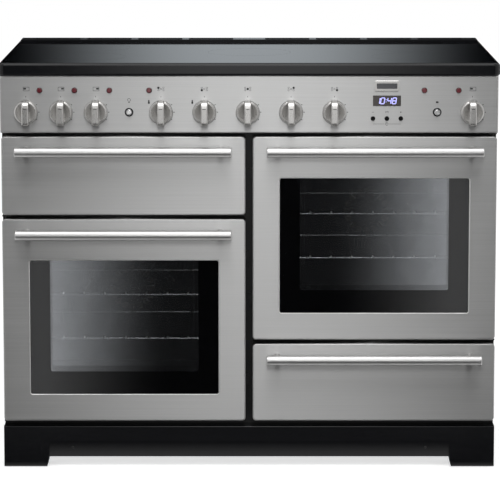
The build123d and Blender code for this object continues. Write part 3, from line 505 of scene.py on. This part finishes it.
# %% Enamel, wire, elements and coils
enamel = finish_recipe(
    "oven_enamel", (0.022, 0.023, 0.027), roughness=0.28, grain=1100, vary=0.2, bump=0.02 * MM, coat=0.2
)
dress(enamel, "left_oven_liner", "right_oven_liner", "grill_liner", "fan_covers", "grill_pan")
dress(enamel, *(f"{door}_liner" for door in doors))

chrome_wire = finish_recipe("chrome_wire", grey(0.86), roughness=0.10, grain=200, vary=0.06, metallic=1.0)
dress(chrome_wire, "oven_shelves", "shelf_supports", "grill_trivet")

sheath = finish_recipe(
    "element_sheath", (0.11, 0.10, 0.09), roughness=0.55, grain=260, vary=0.16, bump=0.06 * MM, metallic=0.8
)
dress(sheath, "heating_elements", "left_oven_fan", "right_oven_fan")

rope = finish_recipe("rope_seal", grey(0.10), roughness=0.92, grain=700, vary=0.22, bump=0.6 * MM)
dress(rope, "door_seals")

foot_zinc = finish_recipe(
    "foot_zinc", grey(0.40), roughness=0.40, grain=300, vary=0.10, bump=0.04 * MM, metallic=1.0
)
dress(foot_zinc, "levelling_feet")

copper = finish_recipe(
    "coil_copper", (0.62, 0.30, 0.16), roughness=0.38, grain=400, vary=0.10, bump=0.05 * MM, metallic=1.0
)
dress(copper, "induction_coils")
print("metalwork dressed")

# %% [markdown]
# ### Glass and lenses
# The hob is black ceramic glass: no colour, a clean mirror on top. The door panes are clear glass with a
# trace of tint, and look dark because the oven behind them is. The neon lenses are plastic with a clear
# coat, and dark red because they are unlit.

# %% Hob glass, door panes, lenses and display
hob_black = finish_recipe(
    "hob_glass", (0.004, 0.0045, 0.006), roughness=0.05, grain=25, vary=0.10, specular=0.6
)
dress(hob_black, "hob_glass")

pane = finish_recipe(
    "tinted_pane", (0.95, 0.96, 0.97), roughness=0.01, grain=20, vary=0.03, transmission=1.0, ior=1.5
)
dress(pane, *(f"{door}_glass" for door in doors))

lens_red = finish_recipe("neon_lens", (0.10, 0.006, 0.012), roughness=0.16, grain=500, vary=0.25, coat=0.6)
dress(lens_red, "indicator_lenses")

display_black = finish_recipe("display_window", (0.034, 0.027, 0.025), roughness=0.10, grain=60, vary=0.10)
dress(display_black, "clock_display")
print("glass dressed")

# %% [markdown]
# ## Shapes for the trim
# All trim is built from outlines. A loft joins a row of outlines with the same number of points: two of
# them make a plate, a closed row makes a ring with a real thickness, and round outlines of several radii
# make a turned piece. Bevelled curves or boolean cuts could make the same shapes, but a loft gives a closed
# mesh of known size with no stray faces. Nearly all of the trim lies on the front, so an outline has x and
# z, and y is the depth.

# %% Mesh helpers
def add_piece(name, shape, body, finish):
    """Turns a bmesh into a piece that rides on a body and has a finish."""
    bmesh.ops.recalc_face_normals(shape, faces=shape.faces)
    mesh = bpy.data.meshes.new(name)
    shape.to_mesh(mesh)
    shape.free()
    piece = bpy.data.objects.new(name, mesh)
    bpy.context.collection.objects.link(piece)
    mesh.materials.append(finish)
    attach(piece, body)
    return piece


def loft(shape, rings, closed):
    """Joins rings of points with the same count; a closed loft is a band, an open one gets end faces."""
    made = [[shape.verts.new(point) for point in ring] for ring in rings]
    pairs = list(zip(made, made[1:]))
    if closed:
        pairs.append((made[-1], made[0]))
    for one, other in pairs:
        for index in range(len(one)):
            after = (index + 1) % len(one)
            shape.faces.new((one[index], other[index], other[after], one[after]))
    if not closed:
        shape.faces.new(made[0])
        shape.faces.new(made[-1][::-1])


def at_depth(outline, y):
    """An outline set at a depth."""
    return [(x, y, z) for x, z in outline]


def plate(shape, outline, front_y, back_y):
    """A flat plate on the front with its outline in x and z."""
    loft(shape, [at_depth(outline, front_y), at_depth(outline, back_y)], closed=False)


print("mesh helpers ready")

# %% Outlines
def round_rect(centre, width, height, radius, steps=6):
    """The outline of a rectangle with round corners, as (x, z) points."""
    points = []
    for sign_x, sign_z, start in ((1, 1, 0), (-1, 1, 90), (-1, -1, 180), (1, -1, 270)):
        for step in range(steps + 1):
            angle = math.radians(start + 90 * step / steps)
            x = centre[0] + sign_x * (width / 2 - radius) + radius * math.cos(angle)
            z = centre[1] + sign_z * (height / 2 - radius) + radius * math.sin(angle)
            points.append((x, z))
    return points


def disc(centre, radius, steps=24):
    """A round outline as (x, z) points."""
    turns = [2 * math.pi * step / steps for step in range(steps)]
    return [(centre[0] + radius * math.cos(turn), centre[1] + radius * math.sin(turn)) for turn in turns]


def turned(shape, centre, profile, closed, steps=32):
    """A shape turned about a line along Y, from (radius, y) pairs."""
    loft(shape, [at_depth(disc(centre, radius, steps), y) for radius, y in profile], closed)


def middle_of(name):
    """The middle of a CAD node, as (x, z)."""
    low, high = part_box(name)
    return ((low.x + high.x) / 2, (low.z + high.z) / 2)


def near(point, across, up):
    """A point so many millimetres across and up from another, as (x, z)."""
    return (point[0] + across * MM, point[1] + up * MM)


face_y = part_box("control_panel")[0].y
print("front face at", round(face_y, 4))

# %% [markdown]
# ## Trim on the doors
# Each window has a polished edge where the sheet is folded in, and a black print on the back of the outer
# pane that hides the seal at the sides and below. Both panes carry a heat-reflecting film on the side that
# faces the other pane. The film is what gives an oven window its grey shine. It could be mixed into the
# glass material, but then it would cover the print too, so each film is a thin half-mirror of its own.

# %% Finishes and sizes of the window trim
polished = finish_recipe(
    "polished_edge", (0.74, 0.74, 0.73), roughness=0.30, grain=200, vary=0.04, metallic=1.0
)
border_print = finish_recipe(
    "border_print", (0.0035, 0.0035, 0.0045), roughness=0.5, grain=900, vary=0.1, specular=0.0
)
film = finish_recipe(
    "heat_film", (0.85, 0.87, 0.90), roughness=0.05, grain=30, vary=0.03, metallic=1.0, alpha=0.18
)

WINDOW_WIDTH, WINDOW_HEIGHT, WINDOW_CORNER = 420 * MM, 303 * MM, 6 * MM
CLEAR_WIDTH, CLEAR_CORNER = 328 * MM, 5 * MM
BORDER_BELOW = 52 * MM
PRINT_LAP = 8 * MM
PANE_SETBACK, PANE_THICK = 1.5 * MM, 4 * MM
FILM_LAP, FILM_CORNER = 6 * MM, 6 * MM
FILM_BELOW, FILM_TOP_GAP = 14 * MM, 5 * MM
# The section of the edge in millimetres: how far out from the window, and how far behind the front face.
EDGE_SECTION = ((-1.4, 1.35), (-0.1, -0.2), (0.6, -0.25), (0.7, 0.0), (-0.2, 0.9))
outer_pane_back = face_y + PANE_SETBACK + PANE_THICK
print("window", WINDOW_WIDTH, "x", WINDOW_HEIGHT)

# %% Window edges, borders and films
def behind_pane(shape, outline, front, back):
    """A plate behind the outer pane, with its depths in millimetres from the glass."""
    plate(shape, outline, outer_pane_back + front * MM, outer_pane_back + back * MM)


def window_edge(middle):
    """The folded edge of a window."""
    shape = bmesh.new()
    rings = []
    for grow, y in EDGE_SECTION:
        size = 2 * grow * MM
        corner = WINDOW_CORNER + grow * MM
        outline = round_rect(middle, WINDOW_WIDTH + size, WINDOW_HEIGHT + size, corner)
        rings.append(at_depth(outline, face_y + y * MM))
    loft(shape, rings, closed=True)
    return shape


def clear_outline(middle_x, bottom, top, steps=6):
    """The clear zone of a window, from its upper right to its upper left, with two round lower corners."""
    half = CLEAR_WIDTH / 2
    points = [(middle_x + half, top)]
    for side, start in ((1, 0), (-1, -90)):
        centre_x = middle_x + side * (half - CLEAR_CORNER)
        for step in range(steps + 1):
            angle = math.radians(start - 90 * step / steps)
            x = centre_x + CLEAR_CORNER * math.cos(angle)
            points.append((x, bottom + CLEAR_CORNER + CLEAR_CORNER * math.sin(angle)))
    points.append((middle_x - half, top))
    return points


for door in doors:
    middle = middle_of(f"{door}_glass")
    pane_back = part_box(f"{door}_glass")[1].y
    left, right = (middle[0] + side * (WINDOW_WIDTH / 2 + PRINT_LAP) for side in (-1, 1))
    bottom, top = (middle[1] + side * (WINDOW_HEIGHT / 2 + PRINT_LAP) for side in (-1, 1))
    clear_bottom = middle[1] - WINDOW_HEIGHT / 2 + BORDER_BELOW
    clear = clear_outline(middle[0], clear_bottom, top)
    add_piece(f"{door}_window_edge", window_edge(middle), door, polished)

    shape = bmesh.new()
    behind_pane(shape, [(left, top), (left, bottom), (right, bottom), (right, top), *clear], 0.05, 0.2)
    add_piece(f"{door}_window_border", shape, door, border_print)

    shape = bmesh.new()
    behind_pane(shape, clear, 0.08, 0.16)
    add_piece(f"{door}_front_film", shape, door, film)

    film_bottom = clear_bottom - FILM_BELOW
    film_height = top - PRINT_LAP - FILM_TOP_GAP - film_bottom
    film_middle = (middle[0], film_bottom + film_height / 2)
    film_front = pane_back - PANE_THICK - 0.2 * MM
    outline = round_rect(film_middle, CLEAR_WIDTH + 2 * FILM_LAP, film_height, FILM_CORNER)
    shape = bmesh.new()
    plate(shape, outline, film_front, film_front + 0.1 * MM)
    add_piece(f"{door}_heat_film", shape, door, film)
print("window trim on", doors)

# %% [markdown]
# ## Wire tips in the ovens
# The wires of a shelf are welded on top of its front rod and end there in rounded tips. Each tip is a
# small dome of bright, slightly blunted chrome, so the tips catch the light from the window as a row of
# dots. The solids have flat wire ends, so the domes are turned here and set over them. Whole spheres would
# look the same, but half of each would be hidden in the wire.

# %% Wire tips
TIP_RADIUS = 2.3 * MM
TIP_PITCH = 46.5 * MM
TIPS_PER_SIDE = 4
WIRE_RADIUS = 1.8 * MM
SHELF_HEIGHT = 8.6 * MM
SHELF_RISE = 100 * MM
OVEN_MIDDLE_X = 276 * MM
DOME_DEGREES = (0, 30, 55, 75, 88)

tip_chrome = finish_recipe("tip_chrome", grey(0.92), roughness=0.45, grain=200, vary=0.03, metallic=1.0)
shelf_low, shelf_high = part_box("oven_shelves")
dome = []
for degrees in DOME_DEGREES:
    turn = math.radians(degrees)
    dome.append((TIP_RADIUS * math.cos(turn), shelf_low.y - TIP_RADIUS * math.sin(turn)))
left_tip_z = shelf_low.z + SHELF_HEIGHT - WIRE_RADIUS
right_tip_z = shelf_high.z - WIRE_RADIUS - SHELF_RISE
shape = bmesh.new()
for oven_x, lowest_z in ((-OVEN_MIDDLE_X, left_tip_z), (OVEN_MIDDLE_X, right_tip_z)):
    for tip_z in (lowest_z, lowest_z + SHELF_RISE):
        for index in range(-TIPS_PER_SIDE, TIPS_PER_SIDE + 1):
            turned(shape, (oven_x + index * TIP_PITCH, tip_z), dome, closed=False, steps=12)
add_piece("shelf_wire_tips", shape, "casing", tip_chrome)
print("tips on each shelf", 2 * TIPS_PER_SIDE + 1)

# %% [markdown]
# ## Controls
# The push buttons stand in dark ring bezels and the lenses in thin black rims. The bezels' dark colour is
# partly painted shade: it also stands for the shadow in the gap round each button. Both are turned from a
# small section, as on a lathe.

# %% Bezels and lens rims
# Sections in millimetres: radius, and depth from the front face.
BEZEL_SECTION = ((6.9, 0), (6.9, -2.0), (7.6, -2.6), (8.8, -2.2), (9.6, -0.9), (9.7, 0))
RIM_SECTION = ((5.7, 0), (5.7, -0.8), (6.0, -1.0), (6.4, -0.7), (6.5, 0))
LENS_BESIDE_KNOB = 30 * MM
LENS_BESIDE_BUTTON = 28 * MM
FOURTH_LENS_X = -219 * MM


def on_face(section):
    """A section in millimetres, set on the front face."""
    return [(radius * MM, face_y + y * MM) for radius, y in section]


# Dark chrome for the plate's field and for the button rings, where the dark is partly painted shade for the
# gap round each button.
dark_chrome = finish_recipe(
    "dark_chrome", (0.10, 0.10, 0.105), roughness=0.20, grain=300, vary=0.06, metallic=1.0
)
# Painted shade in part: the ring's dark finish also stands for the shadow in the gap round the button.
for name in push_names:
    shape = bmesh.new()
    turned(shape, middle_of(name), on_face(BEZEL_SECTION), closed=True)
    add_piece(f"{name}_bezel", shape, "casing", dark_chrome)

knob_z = middle_of("hob_zone_3_knob")[1]
knob_places = {name: (middle_of(name)[0], knob_z) for name in knob_names}
knob_row = sorted(x for x, z in knob_places.values())
lens_row = [x + LENS_BESIDE_KNOB for x in knob_row[:3]]
lens_row.append(FOURTH_LENS_X)
lens_row.append(middle_of("timer_button")[0] - LENS_BESIDE_BUTTON)
lens_row.append(knob_row[-1] - LENS_BESIDE_KNOB)
lens_z = middle_of("indicator_lenses")[1]
shape = bmesh.new()
for x in lens_row:
    turned(shape, (x, lens_z), on_face(RIM_SECTION), closed=True, steps=24)
add_piece("lens_rims", shape, "casing", black_plastic)
print("bezels", len(push_names), "and lens rims", len(lens_row))

# %% [markdown]
# ### Printed marks
# The panel is printed with small marks: a zero line over each knob, three strokes at its right, and a sign
# above it. A hob knob's sign is a group of five dots in which the filled one is its zone. An oven knob's
# sign is a box with a block at one side. The first two hob knobs also have a small mark with a round foot.
# A picture on the panel could carry all this, but a mesh stays sharp from close by. The marks are ink, so
# they stand only a hair above the steel. All sizes below are in millimetres.

# %% Ink and its shapes
INK_THICK = 0.12

ink = finish_recipe("panel_ink", (0.012, 0.012, 0.013), roughness=0.55, grain=1500, vary=0.15)
ink_front = face_y - INK_THICK * MM
marks = bmesh.new()


def line_corners(start, end, width):
    """The corners of a straight line with a width, all in metres."""
    run = Vector(end) - Vector(start)
    side = Vector((-run.y, run.x)).normalized() * width / 2
    return [Vector(start) + side, Vector(start) - side, Vector(end) - side, Vector(end) + side]


def stroke(start, end, width):
    """A printed line between two points."""
    plate(marks, line_corners(start, end, width * MM), ink_front, face_y)


def dot(centre, radius):
    """A printed dot."""
    plate(marks, disc(centre, radius * MM, 16), ink_front, face_y)


def block(centre, width, height, corner, steps=3):
    """A printed block with round corners."""
    outline = round_rect(centre, width * MM, height * MM, corner * MM, steps)
    plate(marks, outline, ink_front, face_y)


def ring(centre, radius, width, steps=20):
    """A printed ring."""
    outer, inner = radius * MM, (radius - width) * MM
    section = [(outer, face_y), (outer, ink_front), (inner, ink_front), (inner, face_y)]
    turned(marks, centre, section, closed=True, steps=steps)


print("ink ready")

# %% Marks at the knobs
ZERO_REACH, ZERO_WIDTH = (32.5, 35.5), 1.1
STROKE_REACH, STROKE_WIDTH = (27.2, 29.8), 1.6
STROKE_DEGREES = (55, 90, 125)
SIGN_RISE = 51
ZONE_SPOTS = [(-5.5, 2.6), (-5.5, -2.6), (0, 0), (5.5, 2.6), (5.5, -2.6)]
ZONE_DOT, ZONE_RING, ZONE_LINE = 2.6, 2.0, 0.6
FOOT_ACROSS, FOOT_RISE, FOOT_RADIUS = -26.5, 20.5, 2.3
STEM_RISE, STEM_SIZE = 24.0, (2.6, 6, 1.2)
BOX_ACROSS, BOX_HALF, BOX_TALL, BOX_LEVEL, BOX_LINE = 1.0, 6.5, 4.5, 4.1, 0.8
FILL_ACROSS, FILL_RISE, BLOCK_SIZE = 3.0, 0.6, (5.6, 3.6, 0.8)


def spoke(place, degrees, reach, width):
    """A printed stroke that points at the middle of a knob; the angle counts clockwise from the top."""
    turn = math.radians(degrees)
    start, end = (near(place, radius * math.sin(turn), radius * math.cos(turn)) for radius in reach)
    stroke(start, end, width)


for place in knob_places.values():
    spoke(place, 0, ZERO_REACH, ZERO_WIDTH)
    for degrees in STROKE_DEGREES:
        spoke(place, degrees, STROKE_REACH, STROKE_WIDTH)

hob_knobs = [f"hob_zone_{number}_knob" for number in range(1, 6)]
for number, name in enumerate(hob_knobs):
    sign = near(knob_places[name], 0, SIGN_RISE)
    for spot, (across, up) in enumerate(ZONE_SPOTS):
        if spot == number:
            dot(near(sign, across, up), ZONE_DOT)
        else:
            ring(near(sign, across, up), ZONE_RING, ZONE_LINE, steps=14)
for name in hob_knobs[:2]:
    dot(near(knob_places[name], FOOT_ACROSS, FOOT_RISE), FOOT_RADIUS)
    block(near(knob_places[name], FOOT_ACROSS, STEM_RISE), *STEM_SIZE, steps=4)

fill_side = {
    "grill_knob": -1,
    "left_oven_function_knob": 1,
    "left_oven_temperature_knob": 1,
    "right_oven_knob": -1,
}
for name, side in fill_side.items():
    sign = near(knob_places[name], BOX_ACROSS, SIGN_RISE)
    for way in (-1, 1):
        stroke(near(sign, way * BOX_HALF, -BOX_TALL), near(sign, way * BOX_HALF, BOX_TALL), BOX_LINE)
        stroke(near(sign, -BOX_HALF, way * BOX_LEVEL), near(sign, BOX_HALF, way * BOX_LEVEL), BOX_LINE)
    block(near(sign, FILL_ACROSS * side, FILL_RISE), *BLOCK_SIZE)
print("marks at", len(knob_places), "knobs")

# %% Marks at the buttons
LAMP_RISE, LAMP_RADIUS, LAMP_LINE = 27, 3.6, 0.8
CAP_RISE, CAP_HALF, CAP_LINE = 21.6, 1.8, 1.4
TIMER_RISE = 22
PLUS_HALF, PLUS_LINE = 1.8, 0.9
PEAK_HALF, PEAK_TALL, PEAK_LINE, SLANT_LINE = 2.6, 2, 0.9, 0.8
SIGN_OVER_CLOCK = 14
LINE_UNDER_CLOCK, CLOCK_LINE = -12, 0.6
DIAL_GAP, DIAL_RADIUS, DIAL_HAND, DIAL_LINE = 5, 3.2, 2.2, 0.7

place = middle_of("oven_light_button")
ring(near(place, 0, LAMP_RISE), LAMP_RADIUS, LAMP_LINE)
stroke(near(place, -CAP_HALF, CAP_RISE), near(place, CAP_HALF, CAP_RISE), CAP_LINE)
block(near(middle_of("timer_button"), 0, TIMER_RISE), *BLOCK_SIZE)

clock_z = middle_of("clock_middle_button")[1]
clock_places = [(middle_of(name)[0], clock_z) for name in clock_names]
minus, setting, plus = (near(place, 0, SIGN_OVER_CLOCK) for place in clock_places)
for sign in (minus, plus):
    stroke(near(sign, -PLUS_HALF, 0), near(sign, PLUS_HALF, 0), PLUS_LINE)
stroke(near(plus, 0, -PLUS_HALF), near(plus, 0, PLUS_HALF), PLUS_LINE)
for side in (-PEAK_HALF, PEAK_HALF):
    peak = near(setting, side, PEAK_TALL)
    stroke(near(setting, side, -PEAK_TALL), peak, PEAK_LINE)
    stroke(peak, setting, SLANT_LINE)

start, dial, end = (near(place, 0, LINE_UNDER_CLOCK) for place in clock_places)
stroke(start, near(dial, -DIAL_GAP, 0), CLOCK_LINE)
stroke(near(dial, DIAL_GAP, 0), end, CLOCK_LINE)
ring(dial, DIAL_RADIUS, DIAL_LINE)
stroke(dial, near(dial, 0, DIAL_HAND), DIAL_LINE)
panel_marks = add_piece("panel_marks", marks, "casing", ink)
print("marks", len(panel_marks.data.polygons), "faces")

# %% [markdown]
# ### Clock digits
# Each digit of the clock is built from up to seven leaning bars in the blue white of a lit display. A text
# object could write them, but its font would have other strokes than a real display. So a digit is a word
# of letters that name its bars, as in a display's data sheet. The bars glow by emission and stand a tenth
# of a millimetre in front of the window.

# %% Clock digits
DIGIT_BARS = {"0": "abcdef", "1": "bc", "4": "bcfg", "8": "abcdefg"}
BAR_ENDS = {
    "a": ((-1, 1), (1, 1)),
    "b": ((1, 1), (1, 0)),
    "c": ((1, 0), (1, -1)),
    "d": ((-1, -1), (1, -1)),
    "e": ((-1, 0), (-1, -1)),
    "f": ((-1, 1), (-1, 0)),
    "g": ((-1, 0), (1, 0)),
}
CLOCK_DIGITS = (("1", -19.6), ("0", -9.4), ("4", 5.2), ("8", 16.2))
DIGIT_HALF_WIDE, DIGIT_HALF_TALL, DIGIT_LEAN = 3.9, 6.4, 0.16
BAR_WIDTH, BAR_GAP, BAR_THICK = 1.9, 0.35, 0.1
COLON_X, COLON_RISE, COLON_RADIUS = -2.0, 2.4, 0.9
DISPLAY_OVER_BUTTONS = 39

digit_glow = finish_recipe(
    "digit_glow",
    (0.45, 0.45, 0.95),
    roughness=0.4,
    grain=400,
    vary=0.05,
    glow=0.75,
    glow_colour=(0.48, 0.48, 1.0, 1),
)
display_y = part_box("clock_display")[0].y
display_middle = near(clock_places[1], 0, DISPLAY_OVER_BUTTONS)
digits = bmesh.new()


def glowing(outline):
    """A glowing plate on the face of the display."""
    plate(digits, outline, display_y - BAR_THICK * MM, display_y)


for digit, offset in CLOCK_DIGITS:
    for bar in DIGIT_BARS[digit]:
        ends = []
        for across, up in BAR_ENDS[bar]:
            lean = DIGIT_LEAN * up * DIGIT_HALF_TALL
            x = offset + across * DIGIT_HALF_WIDE + lean
            ends.append(Vector(near(display_middle, x, up * DIGIT_HALF_TALL)))
        gap = (ends[1] - ends[0]).normalized() * BAR_GAP * MM
        glowing(line_corners(ends[0] + gap, ends[1] - gap, BAR_WIDTH * MM))
for up in (-COLON_RISE, COLON_RISE):
    glowing(disc(near(display_middle, COLON_X, up), COLON_RADIUS * MM, 12))
add_piece("clock_digits", digits, "casing", digit_glow)
print("display face at", round(display_y, 4))

# %% [markdown]
# ### Plate and grip lines
# A blank satin plate with a dark field sits over the clock. Its lower edge hangs in a shallow arch. Each
# knob's grip has a short dark line across it near its top. The line could be painted in the knob's
# material, but as a thin plate of its own it keeps a sharp edge, and it rides on its knob.

# %% Blank plate and dark lines on the grips
PLATE_RISE = 33
PLATE_WIDTH, PLATE_HEIGHT, PLATE_CORNER, PLATE_SAG = 54 * MM, 23 * MM, 3 * MM, 3 * MM
# The plate's edge in millimetres: how far out from its outline, and its depth from the front face.
PLATE_SECTION = ((0, 0), (0, -1.0), (-1.0, -1.6))
FIELD_RISE, FIELD_SIZE = -0.5, (45 * MM, 12 * MM, 1.5 * MM)
FIELD_FRONT, FIELD_BACK = 1.75 * MM, 1.5 * MM
GRIP_LINE_RISE, GRIP_LINE_SIZE = 9.6, (7.5 * MM, 1.3 * MM, 0.6 * MM)
GRIP_LINE_PROUD, GRIP_LINE_SUNK = 0.06 * MM, 0.2 * MM


def arched(outline, middle):
    """Lets the lower edge of the plate's outline hang in a shallow arch."""
    shaped = []
    for x, z in outline:
        share = max(0.0, 1 - (2 * (x - middle[0]) / PLATE_WIDTH) ** 2)
        shaped.append((x, z - PLATE_SAG * share if z < middle[1] else z))
    return shaped


plate_middle = near(display_middle, 0, PLATE_RISE)
rings = []
for grow, y in PLATE_SECTION:
    size = 2 * grow * MM
    corner = PLATE_CORNER + grow * MM
    outline = round_rect(plate_middle, PLATE_WIDTH + size, PLATE_HEIGHT + size, corner, 8)
    rings.append(at_depth(arched(outline, plate_middle), face_y + y * MM))
shape = bmesh.new()
loft(shape, rings, closed=False)
add_piece("blank_plate", shape, "casing", knob_silver)

shape = bmesh.new()
outline = round_rect(near(plate_middle, 0, FIELD_RISE), *FIELD_SIZE)
plate(shape, outline, face_y - FIELD_FRONT, face_y - FIELD_BACK)
add_piece("blank_plate_field", shape, "casing", dark_chrome)

# A short dark line across each grip, near its top.
for name in knob_names:
    grip_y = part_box(name)[0].y
    outline = round_rect(near(middle_of(name), 0, GRIP_LINE_RISE), *GRIP_LINE_SIZE, steps=4)
    shape = bmesh.new()
    plate(shape, outline, grip_y - GRIP_LINE_PROUD, grip_y + GRIP_LINE_SUNK)
    add_piece(f"{name}_grip_line", shape, name, ink)
print("grip_lines", len(knob_names))

# %% [markdown]
# ## Fasteners and hob print
# Domed screws hold the rear cover all round, and two dark ones the plinth. The five cooking zones are
# printed on the hob as thin grey rings, so faint that they vanish in the shine from low down.

# %% Screws
REAR_SCREW_RADIUS, REAR_SCREW_EDGE = 4.5 * MM, 16 * MM
REAR_ROW_SHARES = (-1, -0.66, -0.33, 0, 0.33, 0.66, 1)
REAR_SIDE_SHARES = (0.25, 0.5, 0.75)
PLINTH_SCREW_RADIUS, PLINTH_SCREW_SEAT = 3.0 * MM, 5.0 * MM
PLINTH_SCREW_X, PLINTH_SCREW_Z = 393 * MM, 44 * MM
# The head's section in shares of its radius: radius, and height over the seat.
HEAD_SECTION = ((1.0, 0.0), (0.98, 0.25), (0.8, 0.5), (0.45, 0.62), (0.40, 0.35), (0.05, 0.32))


def screw(shape, centre, seat_y, outward, radius):
    """A domed screw head with a round recess, on a seat that faces along Y."""
    points = [(share * radius, seat_y + outward * height * radius) for share, height in HEAD_SECTION]
    turned(shape, centre, points, closed=False, steps=20)


screw_steel = finish_recipe("screw_steel", grey(0.30), roughness=0.34, grain=400, vary=0.08, metallic=1.0)
cover_low, cover_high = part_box("rear_cover")
row_x = cover_high.x - REAR_SCREW_EDGE
places = []
for z in (cover_low.z + REAR_SCREW_EDGE, cover_high.z - REAR_SCREW_EDGE):
    places += [(share * row_x, z) for share in REAR_ROW_SHARES]
for x in (cover_low.x + REAR_SCREW_EDGE, row_x):
    places += [(x, cover_low.z + share * (cover_high.z - cover_low.z)) for share in REAR_SIDE_SHARES]
shape = bmesh.new()
for place in places:
    screw(shape, place, cover_high.y, 1, REAR_SCREW_RADIUS)
add_piece("rear_screws", shape, "casing", screw_steel)

plinth_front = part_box("plinth")[0].y
shape = bmesh.new()
for x in (-PLINTH_SCREW_X, PLINTH_SCREW_X):
    screw(shape, (x, PLINTH_SCREW_Z), plinth_front + PLINTH_SCREW_SEAT, -1, PLINTH_SCREW_RADIUS)
add_piece("plinth_screws", shape, "casing", frame_black)
print("screws on the back", len(places))

# %% Zone rings on the hob
ZONE_SIDE_X, ZONE_SIDE_Y = 370 * MM, 115 * MM
# The ring's section in millimetres: radius, and lift over the glass.
ZONE_SECTION = ((95, 0.0), (95, 0.05), (93.6, 0.05), (93.6, 0.0))

zone_print = finish_recipe("zone_print", (0.022, 0.022, 0.024), roughness=0.12, grain=900, vary=0.1)
glass_low, glass_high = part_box("hob_glass")
middle_y = (glass_low.y + glass_high.y) / 2
zone_places = [(0, middle_y)]
for side_x in (-ZONE_SIDE_X, ZONE_SIDE_X):
    zone_places += [(side_x, middle_y - ZONE_SIDE_Y), (side_x, middle_y + ZONE_SIDE_Y)]
shape = bmesh.new()
for place in zone_places:
    rings = []
    for radius, lift in ZONE_SECTION:
        z = glass_high.z + lift * MM
        rings.append([(x, y, z) for x, y in disc(place, radius * MM, 72)])
    loft(shape, rings, closed=True)
add_piece("zone_rings", shape, "casing", zone_print)
print("zones", len(zone_places))
